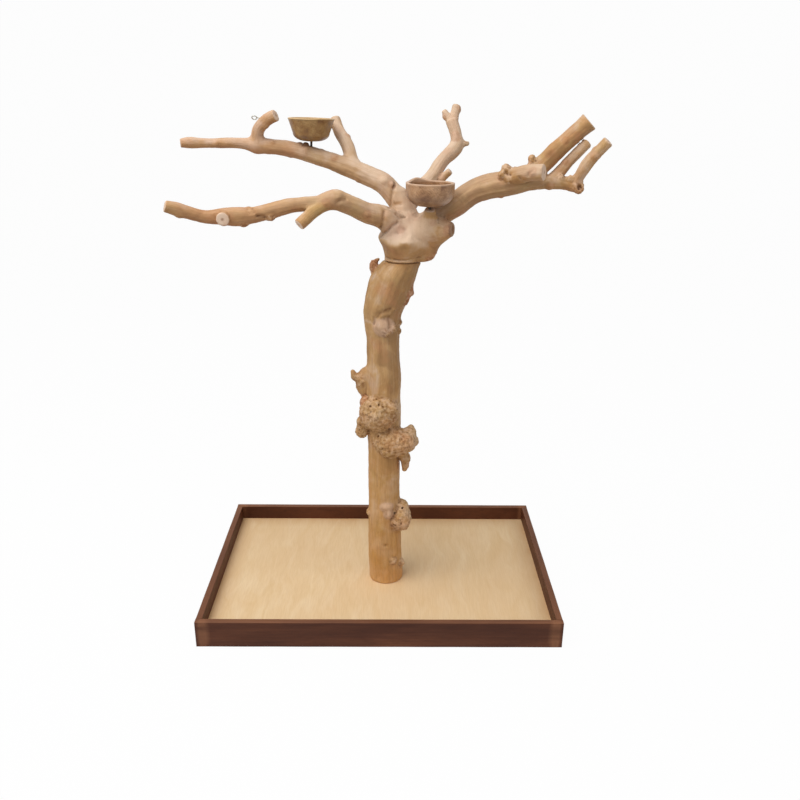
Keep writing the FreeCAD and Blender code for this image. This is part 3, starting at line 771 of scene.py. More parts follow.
def surface(field):
    """The surface where a field is zero: one point in each crossed cell, the mean of the crossings of
    its twelve edges, and one face across each crossed edge, turned to look outwards."""
    values = field["far"]
    inside = values < 0
    nx, ny, nz = np.array(inside.shape) - 1
    count = sum(inside[i:nx + i, j:ny + j, k:nz + k].astype(np.int8)
                for i, j, k in itertools.product((0, 1), repeat=3))
    cell = np.stack(np.nonzero((count > 0) & (count < 8)), axis=1)
    number = np.full(count.shape, -1, np.int64)
    number[tuple(cell.T)] = np.arange(len(cell))
    total, crossings = np.zeros((len(cell), 3)), np.zeros(len(cell))
    for axis in range(3):
        for i, j in itertools.product((0, 1), repeat=2):
            start = np.insert(np.array((i, j)), axis, 0)
            end = np.insert(np.array((i, j)), axis, 1)
            a = values[tuple((cell + start).T)]
            b = values[tuple((cell + end).T)]
            crossed = (a < 0) != (b < 0)
            t = np.where(crossed, a / np.where(crossed, a - b, 1), 0)
            total += np.where(crossed[:, None], start + t[:, None] * (end - start), 0)
            crossings += crossed
    points = field["low"] + (cell + total / crossings[:, None]) * field["voxel"]
    faces = []
    for axis in range(3):
        u, v = (axis + 1) % 3, (axis + 2) % 3
        first = tuple(slice(0, -1) if a == axis else slice(1, -1) for a in range(3))
        second = tuple(slice(1, None) if a == axis else slice(1, -1) for a in range(3))
        outward = inside[first] & ~inside[second]
        inward = ~inside[first] & inside[second]
        for crossed, flip in ((outward, False), (inward, True)):
            edge = np.stack(np.nonzero(crossed), axis=1)
            edge[:, u] += 1
            edge[:, v] += 1
            corners = []
            for du, dv in ((1, 1), (0, 1), (0, 0), (1, 0)):
                c = edge.copy()
                c[:, u] -= du
                c[:, v] -= dv
                corners.append(number[tuple(c.T)])
            quad = np.stack(corners, axis=1)
            faces.append(quad[:, ::-1] if flip else quad)
    return points, np.concatenate(faces)


def edges_of(faces):
    """Each pair of neighbouring points, both ways round."""
    pairs = np.concatenate([np.stack((faces[:, i], faces[:, (i + 1) % 4]), axis=1) for i in range(4)])
    return np.concatenate((pairs, pairs[:, ::-1]))


def neighbour_mean(values, pairs, count):
    """The mean of each point's neighbours."""
    shares = np.bincount(pairs[:, 0], minlength=count)
    sums = [np.bincount(pairs[:, 0], values[pairs[:, 1], a], count) for a in range(values.shape[1])]
    return np.stack(sums, axis=1) / shares[:, None]


def evened(points, faces, rounds):
    """The points with the grid's small steps taken out: moves towards the neighbours and back out, in
    turn."""
    pairs = edges_of(faces)
    for _ in range(rounds):
        for share in (0.5, -0.52):
            points = points + share * (neighbour_mean(points, pairs, len(points)) - points)
    return points


def dots(a, b):
    """How far each direction of a runs along that of b."""
    return np.einsum("ij,ij->i", a, b)


def outward_ways(points, faces):
    """The outward direction at each point: the mean of its faces' directions."""
    a, b, c, d = (points[faces[:, i]] for i in range(4))
    face_way = np.cross(c - a, d - b)
    way = np.stack([sum(np.bincount(faces[:, i], face_way[:, axis], len(points)) for i in range(4))
                    for axis in range(3)], axis=1)
    return unit(way)


def hollowness(points, faces, rounds, scale):
    """How deep a point lies in a hollow: the height of its smoothed surroundings over it, against scale."""
    pairs = edges_of(faces)
    smooth = points
    for _ in range(rounds):
        smooth = smooth + 0.7 * (neighbour_mean(smooth, pairs, len(points)) - smooth)
    return np.clip(dots(smooth - points, outward_ways(points, faces)) / scale, -1, 1)


gradients = unit(np.random.default_rng(11).normal(size=(256, 3)))
shuffle = np.random.default_rng(12).permutation(256)


def rolling(points):
    """Smooth noise from about -1 to 1: slopes at random from the corners of a unit lattice, faded into
    each other."""
    cell = np.floor(points).astype(np.int64)
    inner = points - cell
    fade = inner**3 * (inner * (inner * 6 - 15) + 10)
    total = np.zeros(len(points))
    for corner in itertools.product((0, 1), repeat=3):
        at = (cell + corner) % 256
        pick = shuffle[(shuffle[(shuffle[at[:, 0]] + at[:, 1]) % 256] + at[:, 2]) % 256]
        total += dots(gradients[pick], inner - corner) * np.prod(np.where(corner, fade, 1 - fade), axis=1)
    return total * 1.6


def limb_frames(rings):
    """Along each limb: its heading, a side that keeps its turn from ring to ring, and the way travelled."""
    heading = unit(np.gradient(rings[:, :3], axis=0))
    side, sides = np.array((0.31, 0.87, 0.38)), []
    for way in heading:
        side = unit(side - way * (side @ way))
        sides.append(side)
    steps = np.linalg.norm(np.diff(rings[:, :3], axis=0), axis=1)
    return heading, np.array(sides), np.append(0.0, np.cumsum(steps))


def near(distance, reach):
    """From 1 at no distance to 0 at reach."""
    return np.clip(1 - distance / reach, 0, 1)


def follow_limbs(points, limbs):
    """For each point, where it lies on the limb that it belongs to: (across, across, along), the limb's
    radius there, how near the next limb is, from 1 where they meet to 0, and the limb's number."""
    depth = np.full((len(limbs), len(points)), far)
    ring_of = np.zeros((len(limbs), len(points)), int)
    for i, rings in enumerate(limbs):
        for part in np.array_split(np.arange(len(points)), max(1, len(points) // 40000)):
            gap = np.linalg.norm(points[part, None] - rings[None, :, :3], axis=2) - rings[None, :, 3]
            ring_of[i, part] = gap.argmin(axis=1)
            depth[i, part] = gap.min(axis=1)
    best = depth.argmin(axis=0)
    ordered = np.sort(depth, axis=0)
    meeting = near(ordered[1] - ordered[0], 12 * mm) if len(limbs) > 1 else 0.0
    grain, radius = np.zeros((len(points), 3)), np.zeros(len(points))
    for i, rings in enumerate(limbs):
        heading, sides, travelled = limb_frames(rings)
        mine = best == i
        ring = ring_of[i, mine]
        offset = points[mine] - rings[ring, :3]
        across = np.cross(heading[ring], sides[ring])
        along = travelled[ring] + dots(offset, heading[ring]) + 0.37 * i
        grain[mine] = np.stack((dots(offset, sides[ring]), dots(offset, across), along), axis=1)
        radius[mine] = rings[ring, 3]
    return grain, radius, meeting, best


def weathered(points, faces, grain, radius, knotty, still, calm):
    """Moves the points in and out along their own outward ways: shallow flutes that run with the grain,
    fewer where it is calm, broad lumps, small ripples, and rough pits on the burls; still is 1 where a
    face has to stay flat."""
    way = outward_ways(points, faces)
    flute_place = np.column_stack((unit(grain[:, :2]) * 2.4, grain[:, 2] * 5.0))
    flutes = rolling(flute_place) + 0.5 * rolling(flute_place * (2.2, 2.2, 1.5) + 7.3)
    broad = rolling(points * 26 + 3.1)
    small = rolling(points * 95 + 9.7)
    pits = rolling(points * 170 + 5.2) + 0.6 * rolling(points * 300 + 1.9)
    move = (0.05 * radius * flutes * (1 - calm) + 1.5 * mm * broad + 0.4 * mm * small) * (1 - 0.6 * knotty)
    move += knotty * 1.15 * mm * pits
    return points + way * (move * (1 - still))[:, None]


def near_paths(points, paths, width):
    """From 1 on the given paths to 0 at width from them."""
    share = np.zeros(len(points))
    for path in paths:
        for start, end in zip(path[:-1], path[1:]):
            run = end - start
            t = np.clip((points - start) @ run / (run @ run), 0, 1)
            share = np.maximum(share, 1 - np.linalg.norm(points - start - t[:, None] * run, axis=1) / width)
    return share


def knot_shares(points, eggs, spread):
    """From 1 on the given lumps to 0 away from them, over the width of spread."""
    share = np.zeros(len(points))
    for centre, half in eggs:
        gap = egg_distance(points[:, 0], points[:, 1], points[:, 2], centre, half)
        share = np.maximum(share, near(gap - 4 * mm, spread))
    return share * share * (3 - 2 * share)


def wood_mesh(name, points, faces, grain, **shares):
    """The finished surface as a smooth-shaded mesh, with its grain and the shares that its material
    reads."""
    mesh = bpy.data.meshes.new(name)
    mesh.from_pydata(points.tolist(), [], faces.tolist())
    mesh.polygons.foreach_set("use_smooth", np.ones(len(faces), bool))
    store(mesh, "grain", grain)
    for key, share in shares.items():
        store(mesh, key, np.broadcast_to(share, len(points)))
    mesh.update()
    return mesh


dice = np.random.default_rng(2024)
# Grid step, rounding of a saw cut's edge and of a level end's, and the blends of small spikes and hollows.
trunk_voxel, saw_round, level_round, spike_blend, hollow_blend = 2.2 * mm, 2.2 * mm, 2 * mm, 4 * mm, 6 * mm
seam, seam_radius = np.array((51 * mm, -28 * mm, seam_z)), 44 * mm
trunk_rings = rings_at(foot, TRUNK_RINGS, 9 * mm)
field = empty_field(foot + np.array((-110, -100, -8)) * mm, foot + np.array((120, 80, 896)) * mm,
                    trunk_voxel)
add_limb(field, trunk_rings, 1 * mm, (foot, (0, 0, -1)), ((0, 0, seam_z), (0, 0, 1)))
grid_x, grid_y, grid_z = (axis.astype(np.float32) for axis in np.ix_(*field["axes"]))
# The log's top is drawn in to the seam's radius, which widens by as much as it goes down.
collar = np.sqrt((grid_x - seam[0]) ** 2 + (grid_y - seam[1]) ** 2) - seam_radius - (seam_z - grid_z)
field["far"] = soft_max(field["far"], 0.7 * collar, 10 * mm)
for centre, half, knobs, sizes, *_ in TRUNK_BURLS:
    add_burl(field, *egg_at(foot, centre, half), knobs, sizes, dice)
for rings in TRUNK_SPIKES:
    add_limb(field, rings_at(foot, rings), spike_blend)
for hollow in TRUNK_HOLLOWS:
    add_egg(field, *egg_at(foot, *hollow), hollow_blend, hollow=True)
folds = [add_fold(field, pixels, radius * mm, depth * mm) for pixels, radius, depth in TRUNK_FOLDS]
grooves = [fold for fold, (_, _, depth) in zip(folds, TRUNK_FOLDS) if depth > 2]
field["far"] = soft_max(field["far"], np.maximum(panel_top - grid_z, grid_z - seam_z), level_round)
points, faces = surface(field)
points = evened(points, faces, 2)
grain, radius, *_ = follow_limbs(points, [trunk_rings])
knotty = knot_shares(points, [egg_at(foot, c, h) for c, h, knobs, *_ in TRUNK_BURLS if knobs > 2], 8 * mm)
to_cut = np.minimum(points[:, 2] - panel_top, seam_z - points[:, 2])
# Painted shade along the deeper folds.
fold_shade_and_dark_ends = 0.25 * near_paths(points, grooves, 7 * mm)
points = weathered(points, faces, grain, radius, knotty, near(to_cut, 5 * mm), 0.0)
points[:, 2] = np.clip(points[:, 2], panel_top, seam_z)
level = np.abs(outward_ways(points, faces)[:, 2]) > 0.7
over_panel = points[:, 2] - panel_top
# How brown and how golden the log is at heights over the panel in mm; the gold low down is partly painted
# warm light bounced from the tray. Painted shade makes it browner on its right side, high up, away from the
# lamp.
tone = np.interp(over_panel / mm, (0, 150, 420, 620, 760, 888), (0.15, 0.25, 0.5, 0.65, 0.5, 0.5))
amber = np.interp(over_panel / mm, (0, 120, 400, 600), (0.6, 0.5, 0.22, 0.05))
off_middle = points[:, 0] - np.interp(points[:, 2], trunk_rings[:, 2], trunk_rings[:, 0])
tone += (0.95 * np.clip((off_middle + 12 * mm) / (45 * mm), 0, 1)
         * np.clip((points[:, 2] - 600 * mm) / (150 * mm), 0, 1))
rosy, ruddy = (knot_shares(points, [egg_at(foot, c, h) for c, h, *_, mark in TRUNK_BURLS if mark == tint],
                           5 * mm)
               for tint in ("rosy", "ruddy"))
# The hollow share is painted shade in small hollows and along the deeper folds, and the dip share painted
# shade in broad hollows.
trunk_log = wood_mesh(
    "trunk_log", points, faces, grain, knotty=knotty, tone=tone, rosy=rosy, ruddy=ruddy, meeting=0.0,
    ashen=0.0, sawn=near(to_cut, 1.2 * mm) * level, amber=(1 - 0.6 * knotty) * amber,
    hollow=np.maximum(hollowness(points, faces, 6, 2.4 * mm), fold_shade_and_dark_ends),
    dip=hollowness(points, faces, 40, 7 * mm))


def tree_finish(name):
    """Sandblasted natural wood: pale tan that turns olive, golden and brown in smears along the grain,
    mottled on the burls, and pale with growth rings on the sawn ends. Painted shade darkens it in the
    hollows and creases, and a painted highlight lightens what stands out."""
    f = Finish(name)
    at = f.place()
    grain = f.stored("grain", "Vector")
    knotty, sawn, hollow = f.stored("knotty"), f.stored("sawn"), f.stored("hollow")
    calm = f.sum("SUBTRACT", 1.0, f.sum("MAXIMUM", f.sum("MAXIMUM", knotty, sawn), f.stored("meeting")))
    broad = f.noise(at, 7.0, 3.0, 0.55, 0.3)
    colour = f.ramp(broad, (0.30, linear(192, 158, 126)), (0.50, linear(205, 175, 146)),
                    (0.70, linear(216, 190, 166)))
    smear = f.noise(f.stretch(grain, (17.0, 17.0, 3.2)), 1.5, 4.0, 0.55, 0.8)
    patch = f.noise(at, 19.0, 3.0, 0.55, 0.6)
    browner = f.sum("ADD", f.sum("MULTIPLY_ADD", smear, 1.6, -0.8), f.sum("MULTIPLY_ADD", patch, 3.0, -1.5))
    # The stored brownness is partly painted shade and light: browner on the log's right side, on faces
    # turned down, on the hub below its ridge and on the pad under the right bowl, paler on faces turned up.
    brown = f.ramp(f.sum("MULTIPLY_ADD", browner, 0.75, f.stored("tone")), (0.0, 1.0),
                   (0.5, (0.80, 0.655, 0.41, 1.0)), (1.0, (0.56, 0.435, 0.265, 1.0)))
    colour = f.mix(1.0, colour, brown, "MULTIPLY")
    colour = f.tint(colour, f.noise(at, 15.0, 3.0, 0.6), (0.50, 0.0), (0.68, 0.45), (186, 126, 90))
    olive = f.noise(f.stretch(at, (1.0, 1.0, 0.7), (0.4, 0.2, 0.0)), 15.0, 3.0, 0.5)
    colour = f.tint(colour, olive, (0.56, 0.0), (0.70, 0.35), (172, 148, 92))
    # The golden share is partly painted warm light bounced from the tray onto the log's foot, the pale grey
    # share partly a painted highlight on faces turned up, and the ruddy share partly painted shade on faces
    # turned down.
    for key, share, shade in (("amber", 1.0, (222, 164, 88)), ("ashen", 0.6, (220, 200, 180)),
                              ("rosy", 0.55, (206, 172, 150)), ("ruddy", 0.55, (172, 108, 74))):
        colour = f.mix(f.times(f.stored(key), share), colour, linear(*shade))
    streak = f.noise(f.stretch(grain, (60.0, 60.0, 5.0)), 1.6, 6.0, 0.6, 0.5)
    fine = f.noise(f.stretch(grain, (320.0, 320.0, 18.0)), 1.5, 4.0, 0.65)
    mottle = f.noise(at, 120.0, 5.0, 0.6)
    specks = f.add("TexVoronoi", {"Vector": at, "Scale": 230.0}).outputs["Distance"]
    # Painted shade and highlight: dip and hollow darken broad and small hollows and creases (hollow also
    # holds the real dark stump top and broken end), and the ridge highlight lightens what stands out.
    ridge_highlight = f.times(hollow, -1.0)
    for value, low, high, shade, where in (
            (streak, (0.34, 0.22), (0.50, 0.0), (140, 96, 54), calm),
            (streak, (0.54, 0.0), (0.72, 0.12), (226, 200, 168), calm),
            (fine, (0.40, 0.16), (0.52, 0.0), (130, 88, 50), calm),
            (mottle, (0.50, 0.0), (0.66, 0.50), (218, 186, 156), knotty),
            (mottle, (0.36, 0.60), (0.50, 0.0), (122, 76, 40), knotty),
            (specks, (0.06, 0.30), (0.13, 0.0), (120, 78, 46), None),
            (f.stored("dip"), (0.04, 0.0), (0.55, 0.6), (128, 82, 46), None),
            (hollow, (0.10, 0.0), (0.75, 0.9), (88, 54, 30), None),
            (ridge_highlight, (0.12, 0.0), (0.8, 0.45), (226, 200, 172), None)):
        colour = f.tint(colour, value, low, high, shade, where)
    x, y, _ = f.split(grain)
    off_pith = f.sum("SQRT", f.sum("ADD", f.times(x, x), f.times(y, y)))
    waver = f.sum("MULTIPLY_ADD", f.noise(at, 60.0, 3.0), 6 * mm, off_pith)
    rings = f.sum("SINE", f.times(waver, 2600.0))
    end_colour = f.mix(f.ramp(rings, (0.2, 0.0), (0.9, 0.5)), linear(222, 196, 172), linear(196, 158, 130))
    end_colour = f.tint(end_colour, f.noise(at, 45.0, 3.0), (0.5, 0.0), (0.72, 0.5), (200, 150, 116))
    end_colour = f.tint(end_colour, waver, (0.0035, 0.8), (0.007, 0.0), (128, 84, 56))
    colour = f.mix(sawn, colour, end_colour)
    relief = f.mix(knotty, f.ramp(fine, (0.35, 0.0), (0.6, 1.0)), mottle)
    relief = f.mix(sawn, relief, f.ramp(rings, (0.0, 0.6), (1.0, 0.4)))
    normal = f.bump(streak, 1.2 * mm, 0.35, f.bump(relief, 0.6 * mm, 0.45))
    return f.done(colour, normal, Roughness=f.sum("MULTIPLY_ADD", broad, 0.2, 0.5), Specular_IOR_Level=0.25)


tree_wood = tree_finish("tree_wood")
place_piece(trunk_log, "base", tree_wood, "trunk")

# ---------------------------------------------------------------- rod and bush of the seam
# A threaded steel rod is fixed in the trunk's top, and a brass bush in the crown's underside screws down on
# it. Both are hidden in the wood.
rod_thread = thread_points(6 * mm, 1.75 * mm, 0.8 * mm, -70 * mm, 50 * mm, seam)
place_piece(bar_mesh("crown_rod_thread", rod_thread), "base", zinc, "crown_rod")
brass = steel_finish("brass_insert", linear(214, 176, 98), 0.3)
for node in ("crown_insert", "left_bowl_insert", "right_bowl_insert"):
    refinish(node, brass)

# ---------------------------------------------------------------- crown
# The natural fork that screws down on the trunk: a thick hub with its limbs, twigs and sawn stubs, barked
# and sandblasted like the trunk.
seat = np.array((51 * mm, -28 * mm, seam_z + seam_gap))

# Centre and radius of the rings in mm, from the seat's centre.
HUB_RINGS = ((0, 0, -10, 44), (0, 0, 0, 44), (1, 0, 6, 44), (2, 0, 14, 46), (4, 0, 26, 51), (7, 0, 38, 58),
             (9, 0, 48, 65.5), (9, 0, 56, 68), (9, 1, 66, 64), (8, 2, 84, 51), (6, 4, 98, 38),
             (4, 6, 110, 22))
# How much lower the hub's ridge runs at each turn from the front, in degrees to the right and mm.
RIDGE_TURNS = (-180, -90, -57, -40, -22, -4, 10, 30, 50, 90, 180)
RIDGE_DROPS = (0, 0, 3, 9, 10, 2, 5, 13, 18, 12, 0)
# Roots and shoulders that swell the hub in mm: centres and radii along each, from the seat's centre.
SHOULDERS = (
    ((84, -42, 70, 19), (74, -38, 52, 17), (67, -33, 38, 15), (59, -27, 24, 14), (48, -22, 12, 12)),
    ((40, -24, 64, 32), (60, -35, 80, 32), (86, -43, 81, 23)),
    ((12, 16, 96, 24), (3, 24, 128, 18), (-3, 28, 154, 12)),
)
LIMBS = {
    "upper left": (
        (10, 13, 82, 30), (-6, 26, 127, 26), (-46, 42, 174, 24), (-84, 52, 191, 23), (-123, 60, 206, 22),
        (-199, 70, 231, 19), (-275, 72, 250, 18), (-350, 66, 258, 17), (-386, 60, 262, 13),
        (-423, 54, 263, 12), (-476, 42, 263, 12), (-494, 38, 264, 14), (-520, 32, 263, 11)),
    "behind the left bowl": (
        (-118, 61, 208, 16), (-134, 90, 258, 15), (-156, 130, 290, 14), (-168, 146, 318, 13)),
    "toy eye stub": (
        (-348, 66, 256, 15), (-341, 58, 293, 14), (-326, 52, 311, 14), (-296, 42, 326, 14)),
    "lower left": (
        (-12, -12, 74, 33), (-43, -28, 104, 28), (-82, -44, 117, 23), (-118, -58, 135, 22),
        (-160, -72, 150, 20), (-193, -80, 144, 16), (-249, -88, 139, 16), (-291, -92, 129, 17.5),
        (-346, -96, 116, 18), (-378, -98, 114, 21), (-401, -100, 115, 19), (-444, -106, 114, 14),
        (-503, -122, 133, 14), (-526, -130, 140, 13)),
    "lower left knot": ((-401, -98, 115, 17), (-401, -112, 113, 16), (-402, -125, 112, 15.5)),
    "lower left stub": (
        (-151, -70, 154, 15), (-176, -84, 140, 12), (-203, -102, 125, 13), (-233, -122, 100, 13)),
    "centre": (
        (8, 26, 82, 24), (8, 40, 114, 22), (29, 56, 147, 20), (66, 84, 182, 17), (97, 114, 223, 17),
        (133, 140, 259, 18), (132, 150, 277, 15), (120, 168, 314, 15)),
    "centre, left tine": ((121, 167, 306, 11), (108, 174, 325, 9), (100, 178, 338, 6)),
    "centre, right tine": ((121, 167, 306, 12), (128, 178, 332, 11), (132, 188, 349, 10)),
    "centre twig": ((86, 90, 177, 10), (102, 86, 190, 9), (115, 82, 202, 8)),
    "right": (
        (46, 2, 76, 31), (98, 0, 118, 28), (127, -4, 135, 28), (167, -10, 165, 28), (203, -16, 177, 29),
        (233, -22, 183, 29), (272, -26, 193, 28), (316, -24, 197, 22)),
    "tall right stub": ((284, -24, 200, 22), (314, -16, 223, 21), (369, 6, 271, 20), (412, 25, 305, 20.5),
                        (430, 33, 320, 23)),
    "front right stub": ((240, -34, 198, 20), (280, -62, 211, 18.5), (312, -86, 215, 18.5)),
    "right far end": ((306, -24, 193, 20), (327, -22, 188, 16), (367, -20, 186, 15), (403, -24, 180, 14),
                      (409, -25, 178, 14)),
    "middle twig": ((338, -22, 190, 14), (354, -15, 203, 13), (388, 0, 238, 12.5), (426, 16, 273, 12)),
    "right twig": ((391, -22, 180, 13), (402, -30, 199, 13), (416, -42, 230, 13.5), (436, -50, 257, 12.5),
                   (456, -58, 281, 12.5)),
    "low right stub": ((38, -14, 70, 30), (60, -26, 76, 31), (83, -38, 80, 25), (101, -47, 82, 18.5),
                       (114, -54, 83, 16.5)),
    "right bowl pad": ((57, -44, 94, 17), (60, -56, 113, 16.5), (61, -64, 130, 11.5)),
}
# How much a limb's sawn end is tipped from square, as a share of its heading.
END_TILTS = {"tall right stub": (-0.10, -0.45, 0.01), "front right stub": (0.20, 0.10, 0.0)}
# The limb whose end is broken and weathered brown, not sawn.
BROKEN_END = "low right stub"
# How brown each limb is, from 0 to 1, where that is not the common share.
HUB_TONE, COMMON_TONE, TONES = 0.05, 0.3, {
    "upper left": 0.34, "behind the left bowl": 0.2, "toy eye stub": 0.1, "lower left": 0.82,
    "lower left knot": 0.82, "lower left stub": 0.65, "centre": 0.05, "centre, left tine": 0.0,
    "centre, right tine": 0.0, "right": 0.95, "tall right stub": 0.72, "front right stub": 0.15,
    "right far end": 0.4, "low right stub": 0.25, "right bowl pad": 0.1}
# How much paler and greyer a limb's wood is than the rest.
ASHEN = {"upper left": 1.0, "behind the left bowl": 1.0, "centre": 1.0, "centre, left tine": 1.0,
         "centre, right tine": 1.0, "lower left": 0.8, "lower left knot": 0.8, "right": 0.8}
# Over how many mm a limb blends with the wood, where that is not the common width.
COMMON_BLEND, LIMB_BLENDS = 11, {
    "right bowl pad": 5, "centre, left tine": 4, "centre, right tine": 4, "centre twig": 5,
    "low right stub": 9, "middle twig": 4, "right twig": 4, "lower left knot": 3, "upper left": 9,
    "lower left": 8, "centre": 9, "right": 8, "front right stub": 6}
# A small dark twig stump beside the left bowl's stud: centres and radii along it, in mm from the seat's
# centre.
DARK_STUMP = ((-231, 61, 244, 9), (-231, 59, 258, 7.2))
# Knots in mm: centre from the seat's centre, half sizes, number of small knobs and their radii, and any
# tint.
CROWN_KNOTS = (
    ((64, -22, 17), (11, 12, 11), 6, (3, 5), "ruddy"),
    ((70, -28, 30), (9, 10, 10), 4, (3, 5), "ruddy"),
    ((233, -40, 218), (11, 12, 11), 10, (3, 5)),
    ((222, -48, 206), (7, 8, 7), 3, (2, 4)),
    ((238, -50, 196), (5, 5, 5), 3, (2, 4)),
    ((292, -24, 240), (8, 9, 9), 4, (3, 4)),
    ((404, -34, 176), (12, 9, 12), 6, (3, 5)),
    ((362, -30, 200), (5, 6, 5), 2, (2, 3)),
    ((382, -30, 200), (4, 5, 4), 2, (2, 3)),
    ((-45, 24, 183), (9, 8, 7), 0, (2, 3)),
    ((157, 138, 262), (6, 6, 6), 2, (2, 3)),
    ((-359, -100, 98), (6, 7, 5), 2, (2, 3)),
    ((-298, -100, 112), (6, 7, 6), 2, (2, 3)),
)
# Hollows and soft dents in mm: centre from the seat's centre and half sizes.
CROWN_HOLLOWS = (((404, -42, 178), (6, 8, 7)), ((36, -42, 10), (7, 5, 3)), ((117, -55.7, 83), (5, 12, 12)))
# Creases and dents as the camera sees them: picture pixels along each, its radius and depth in mm.
CROWN_FOLDS = (
    (((384.5, 211), (384, 217), (382.5, 224), (379, 231)), 3.4, 3.0),
    (((398, 222.5), (393, 225.5), (388, 230.5), (383, 234), (378.5, 237.5)), 3.6, 3.2),
    (((396.5, 214), (400, 218), (405, 216.5)), 4.0, 3.0),
    (((389.5, 207.5), (395, 204.5), (401, 204)), 4.0, 1.6),
    (((395.5, 182), (393, 190), (391, 199), (390.5, 206)), 3.2, 2.2),
    (((404.5, 227), (405.5, 232), (404, 236)), 15.0, 3.6),
    (((382.5, 256.6), (391, 259.4), (401, 260.6), (411, 260), (419, 257.8)), 2.6, 1.2),
    (((257.5, 216.2), (260.2, 217), (262.3, 217.3), (264.5, 217.5)), 3.2, 3.0),
    (((247, 208.5), (250, 213)), 3.0, 1.6),
    (((252, 208), (254, 213)), 3.0, 1.6),
    (((337.5, 203), (341, 200), (345.5, 199)), 5.0, 3.4),
    (((519.3, 177.5), (520.2, 178.8)), 3.5, 3.0),
    (((527.5, 175.5), (529.5, 172), (532, 170)), 4.0, 2.8),
    (((505, 173), (510, 175)), 3.0, 2.0),
)


def add_stack(field, rings, softness):
    """Joins a stack of level rings to the wood: how far a point is outside the ring of its own height,
    which is read higher up where the ridge runs lower."""
    own_z = field["axes"][2]
    here = (own_z >= rings[0, 2]) & (own_z <= rings[-1, 2] + 12 * mm)
    x, y = (field["axes"][a].astype(np.float32) for a in (0, 1))
    centre_x, centre_y = (np.interp(own_z[here], rings[:, 2], rings[:, a]) for a in (0, 1))
    off_x, off_y = x[:, None, None] - centre_x, y[None, :, None] - centre_y
    drop = np.interp(np.degrees(np.arctan2(off_x, -off_y)), RIDGE_TURNS, RIDGE_DROPS) * mm
    above_seat = own_z[here] - seat[2]
    drop *= np.clip(above_seat / (26 * mm), 0, 1) * np.clip((104 * mm - above_seat) / (30 * mm), 0, 1)
    gap = np.hypot(off_x, off_y) - np.interp(own_z[here] + drop, rings[:, 2], rings[:, 3])
    above = own_z[here] - rings[-1, 2]
    gap = np.maximum(0.85 * gap, above).astype(np.float32)
    field["far"][:, :, here] = soft_min(field["far"][:, :, here], gap, softness)


def sawn_end(rings, tilt):
    """The plane of a limb's sawn end: its last centre, and its heading tipped a little."""
    out = rings[-1, :3] - rings[-2, :3]
    out = out / np.linalg.norm(out) + np.array(tilt)
    return rings[-1, :3], out / np.linalg.norm(out)


# Grid step and margin, and how widely scars, dents, shoulders and the dark stump blend with the wood.
crown_voxel, crown_margin = 2.5 * mm, 32 * mm
scar_blend, dent_blend, shoulder_blend, stump_blend = 6 * mm, 4 * mm, 14 * mm, 3 * mm
limbs = {name: rings_at(seat, rings, 9 * mm) for name, rings in LIMBS.items()}
hub = rings_at(seat, HUB_RINGS, 5 * mm)
low = np.min([r[:, :3].min(axis=0) for r in limbs.values()], axis=0) - crown_margin
high = np.max([r[:, :3].max(axis=0) for r in limbs.values()], axis=0) + crown_margin
low[2] = seat[2] - 8 * mm
field = empty_field(low, high, crown_voxel)
add_stack(field, hub, 1 * mm)
ends = {name: sawn_end(rings, END_TILTS.get(name, (0, 0, 0))) for name, rings in limbs.items()}
for name, rings in limbs.items():
    add_limb(field, rings, LIMB_BLENDS.get(name, COMMON_BLEND) * mm, ends[name])
# Small scars of lost twigs, at random along the limbs and round them.
scars = []
for rings in limbs.values():
    for i in dice.choice(len(rings) - 2, size=max(1, len(rings) // 8), replace=False) + 1:
        heading = rings[i + 1, :3] - rings[i - 1, :3]
        aside = dice.normal(size=3)
        aside -= heading * (aside @ heading) / (heading @ heading)
        half = np.full(3, dice.uniform(4, 8) * mm)
        scars.append((rings[i, :3] + unit(aside) * (rings[i, 3] - 0.55 * half), half))
        add_egg(field, *scars[-1], scar_blend)
for centre, half, knobs, sizes, *_ in CROWN_KNOTS:
    add_burl(field, *egg_at(seat, centre, half), knobs, sizes, dice)
for rings in SHOULDERS:
    add_limb(field, rings_at(seat, rings, 6 * mm), shoulder_blend)
stump = rings_at(seat, DARK_STUMP)
add_limb(field, stump, stump_blend)
for hollow in CROWN_HOLLOWS:
    add_egg(field, *egg_at(seat, *hollow), dent_blend, hollow=True)
folds = [add_fold(field, pixels, radius * mm, depth * mm) for pixels, radius, depth in CROWN_FOLDS]
sharp = [fold for fold, (_, width, depth) in zip(folds, CROWN_FOLDS) if depth > 1.8 and width < 10]
under_seat = seat[2] - field["axes"][2][None, None, :].astype(np.float32)
field["far"] = soft_max(field["far"], under_seat, level_round)
points, faces = surface(field)
points = evened(points, faces, 2)
grain, radius, meeting, limb_of = follow_limbs(points, [hub, *limbs.values()])
knotty = knot_shares(points, [egg_at(seat, c, h) for c, h, knobs, *_ in CROWN_KNOTS if knobs > 1], 5 * mm)
over_seat = points[:, 2] - seat[2]
still = near(over_seat, 9 * mm)
beside = np.linalg.norm(points - stump[-1, :3], axis=1)
dark_top = np.clip(6 - beside / (1.8 * mm), 0, 0.8) * near(stump[-1, 2] - points[:, 2], 4 * mm)
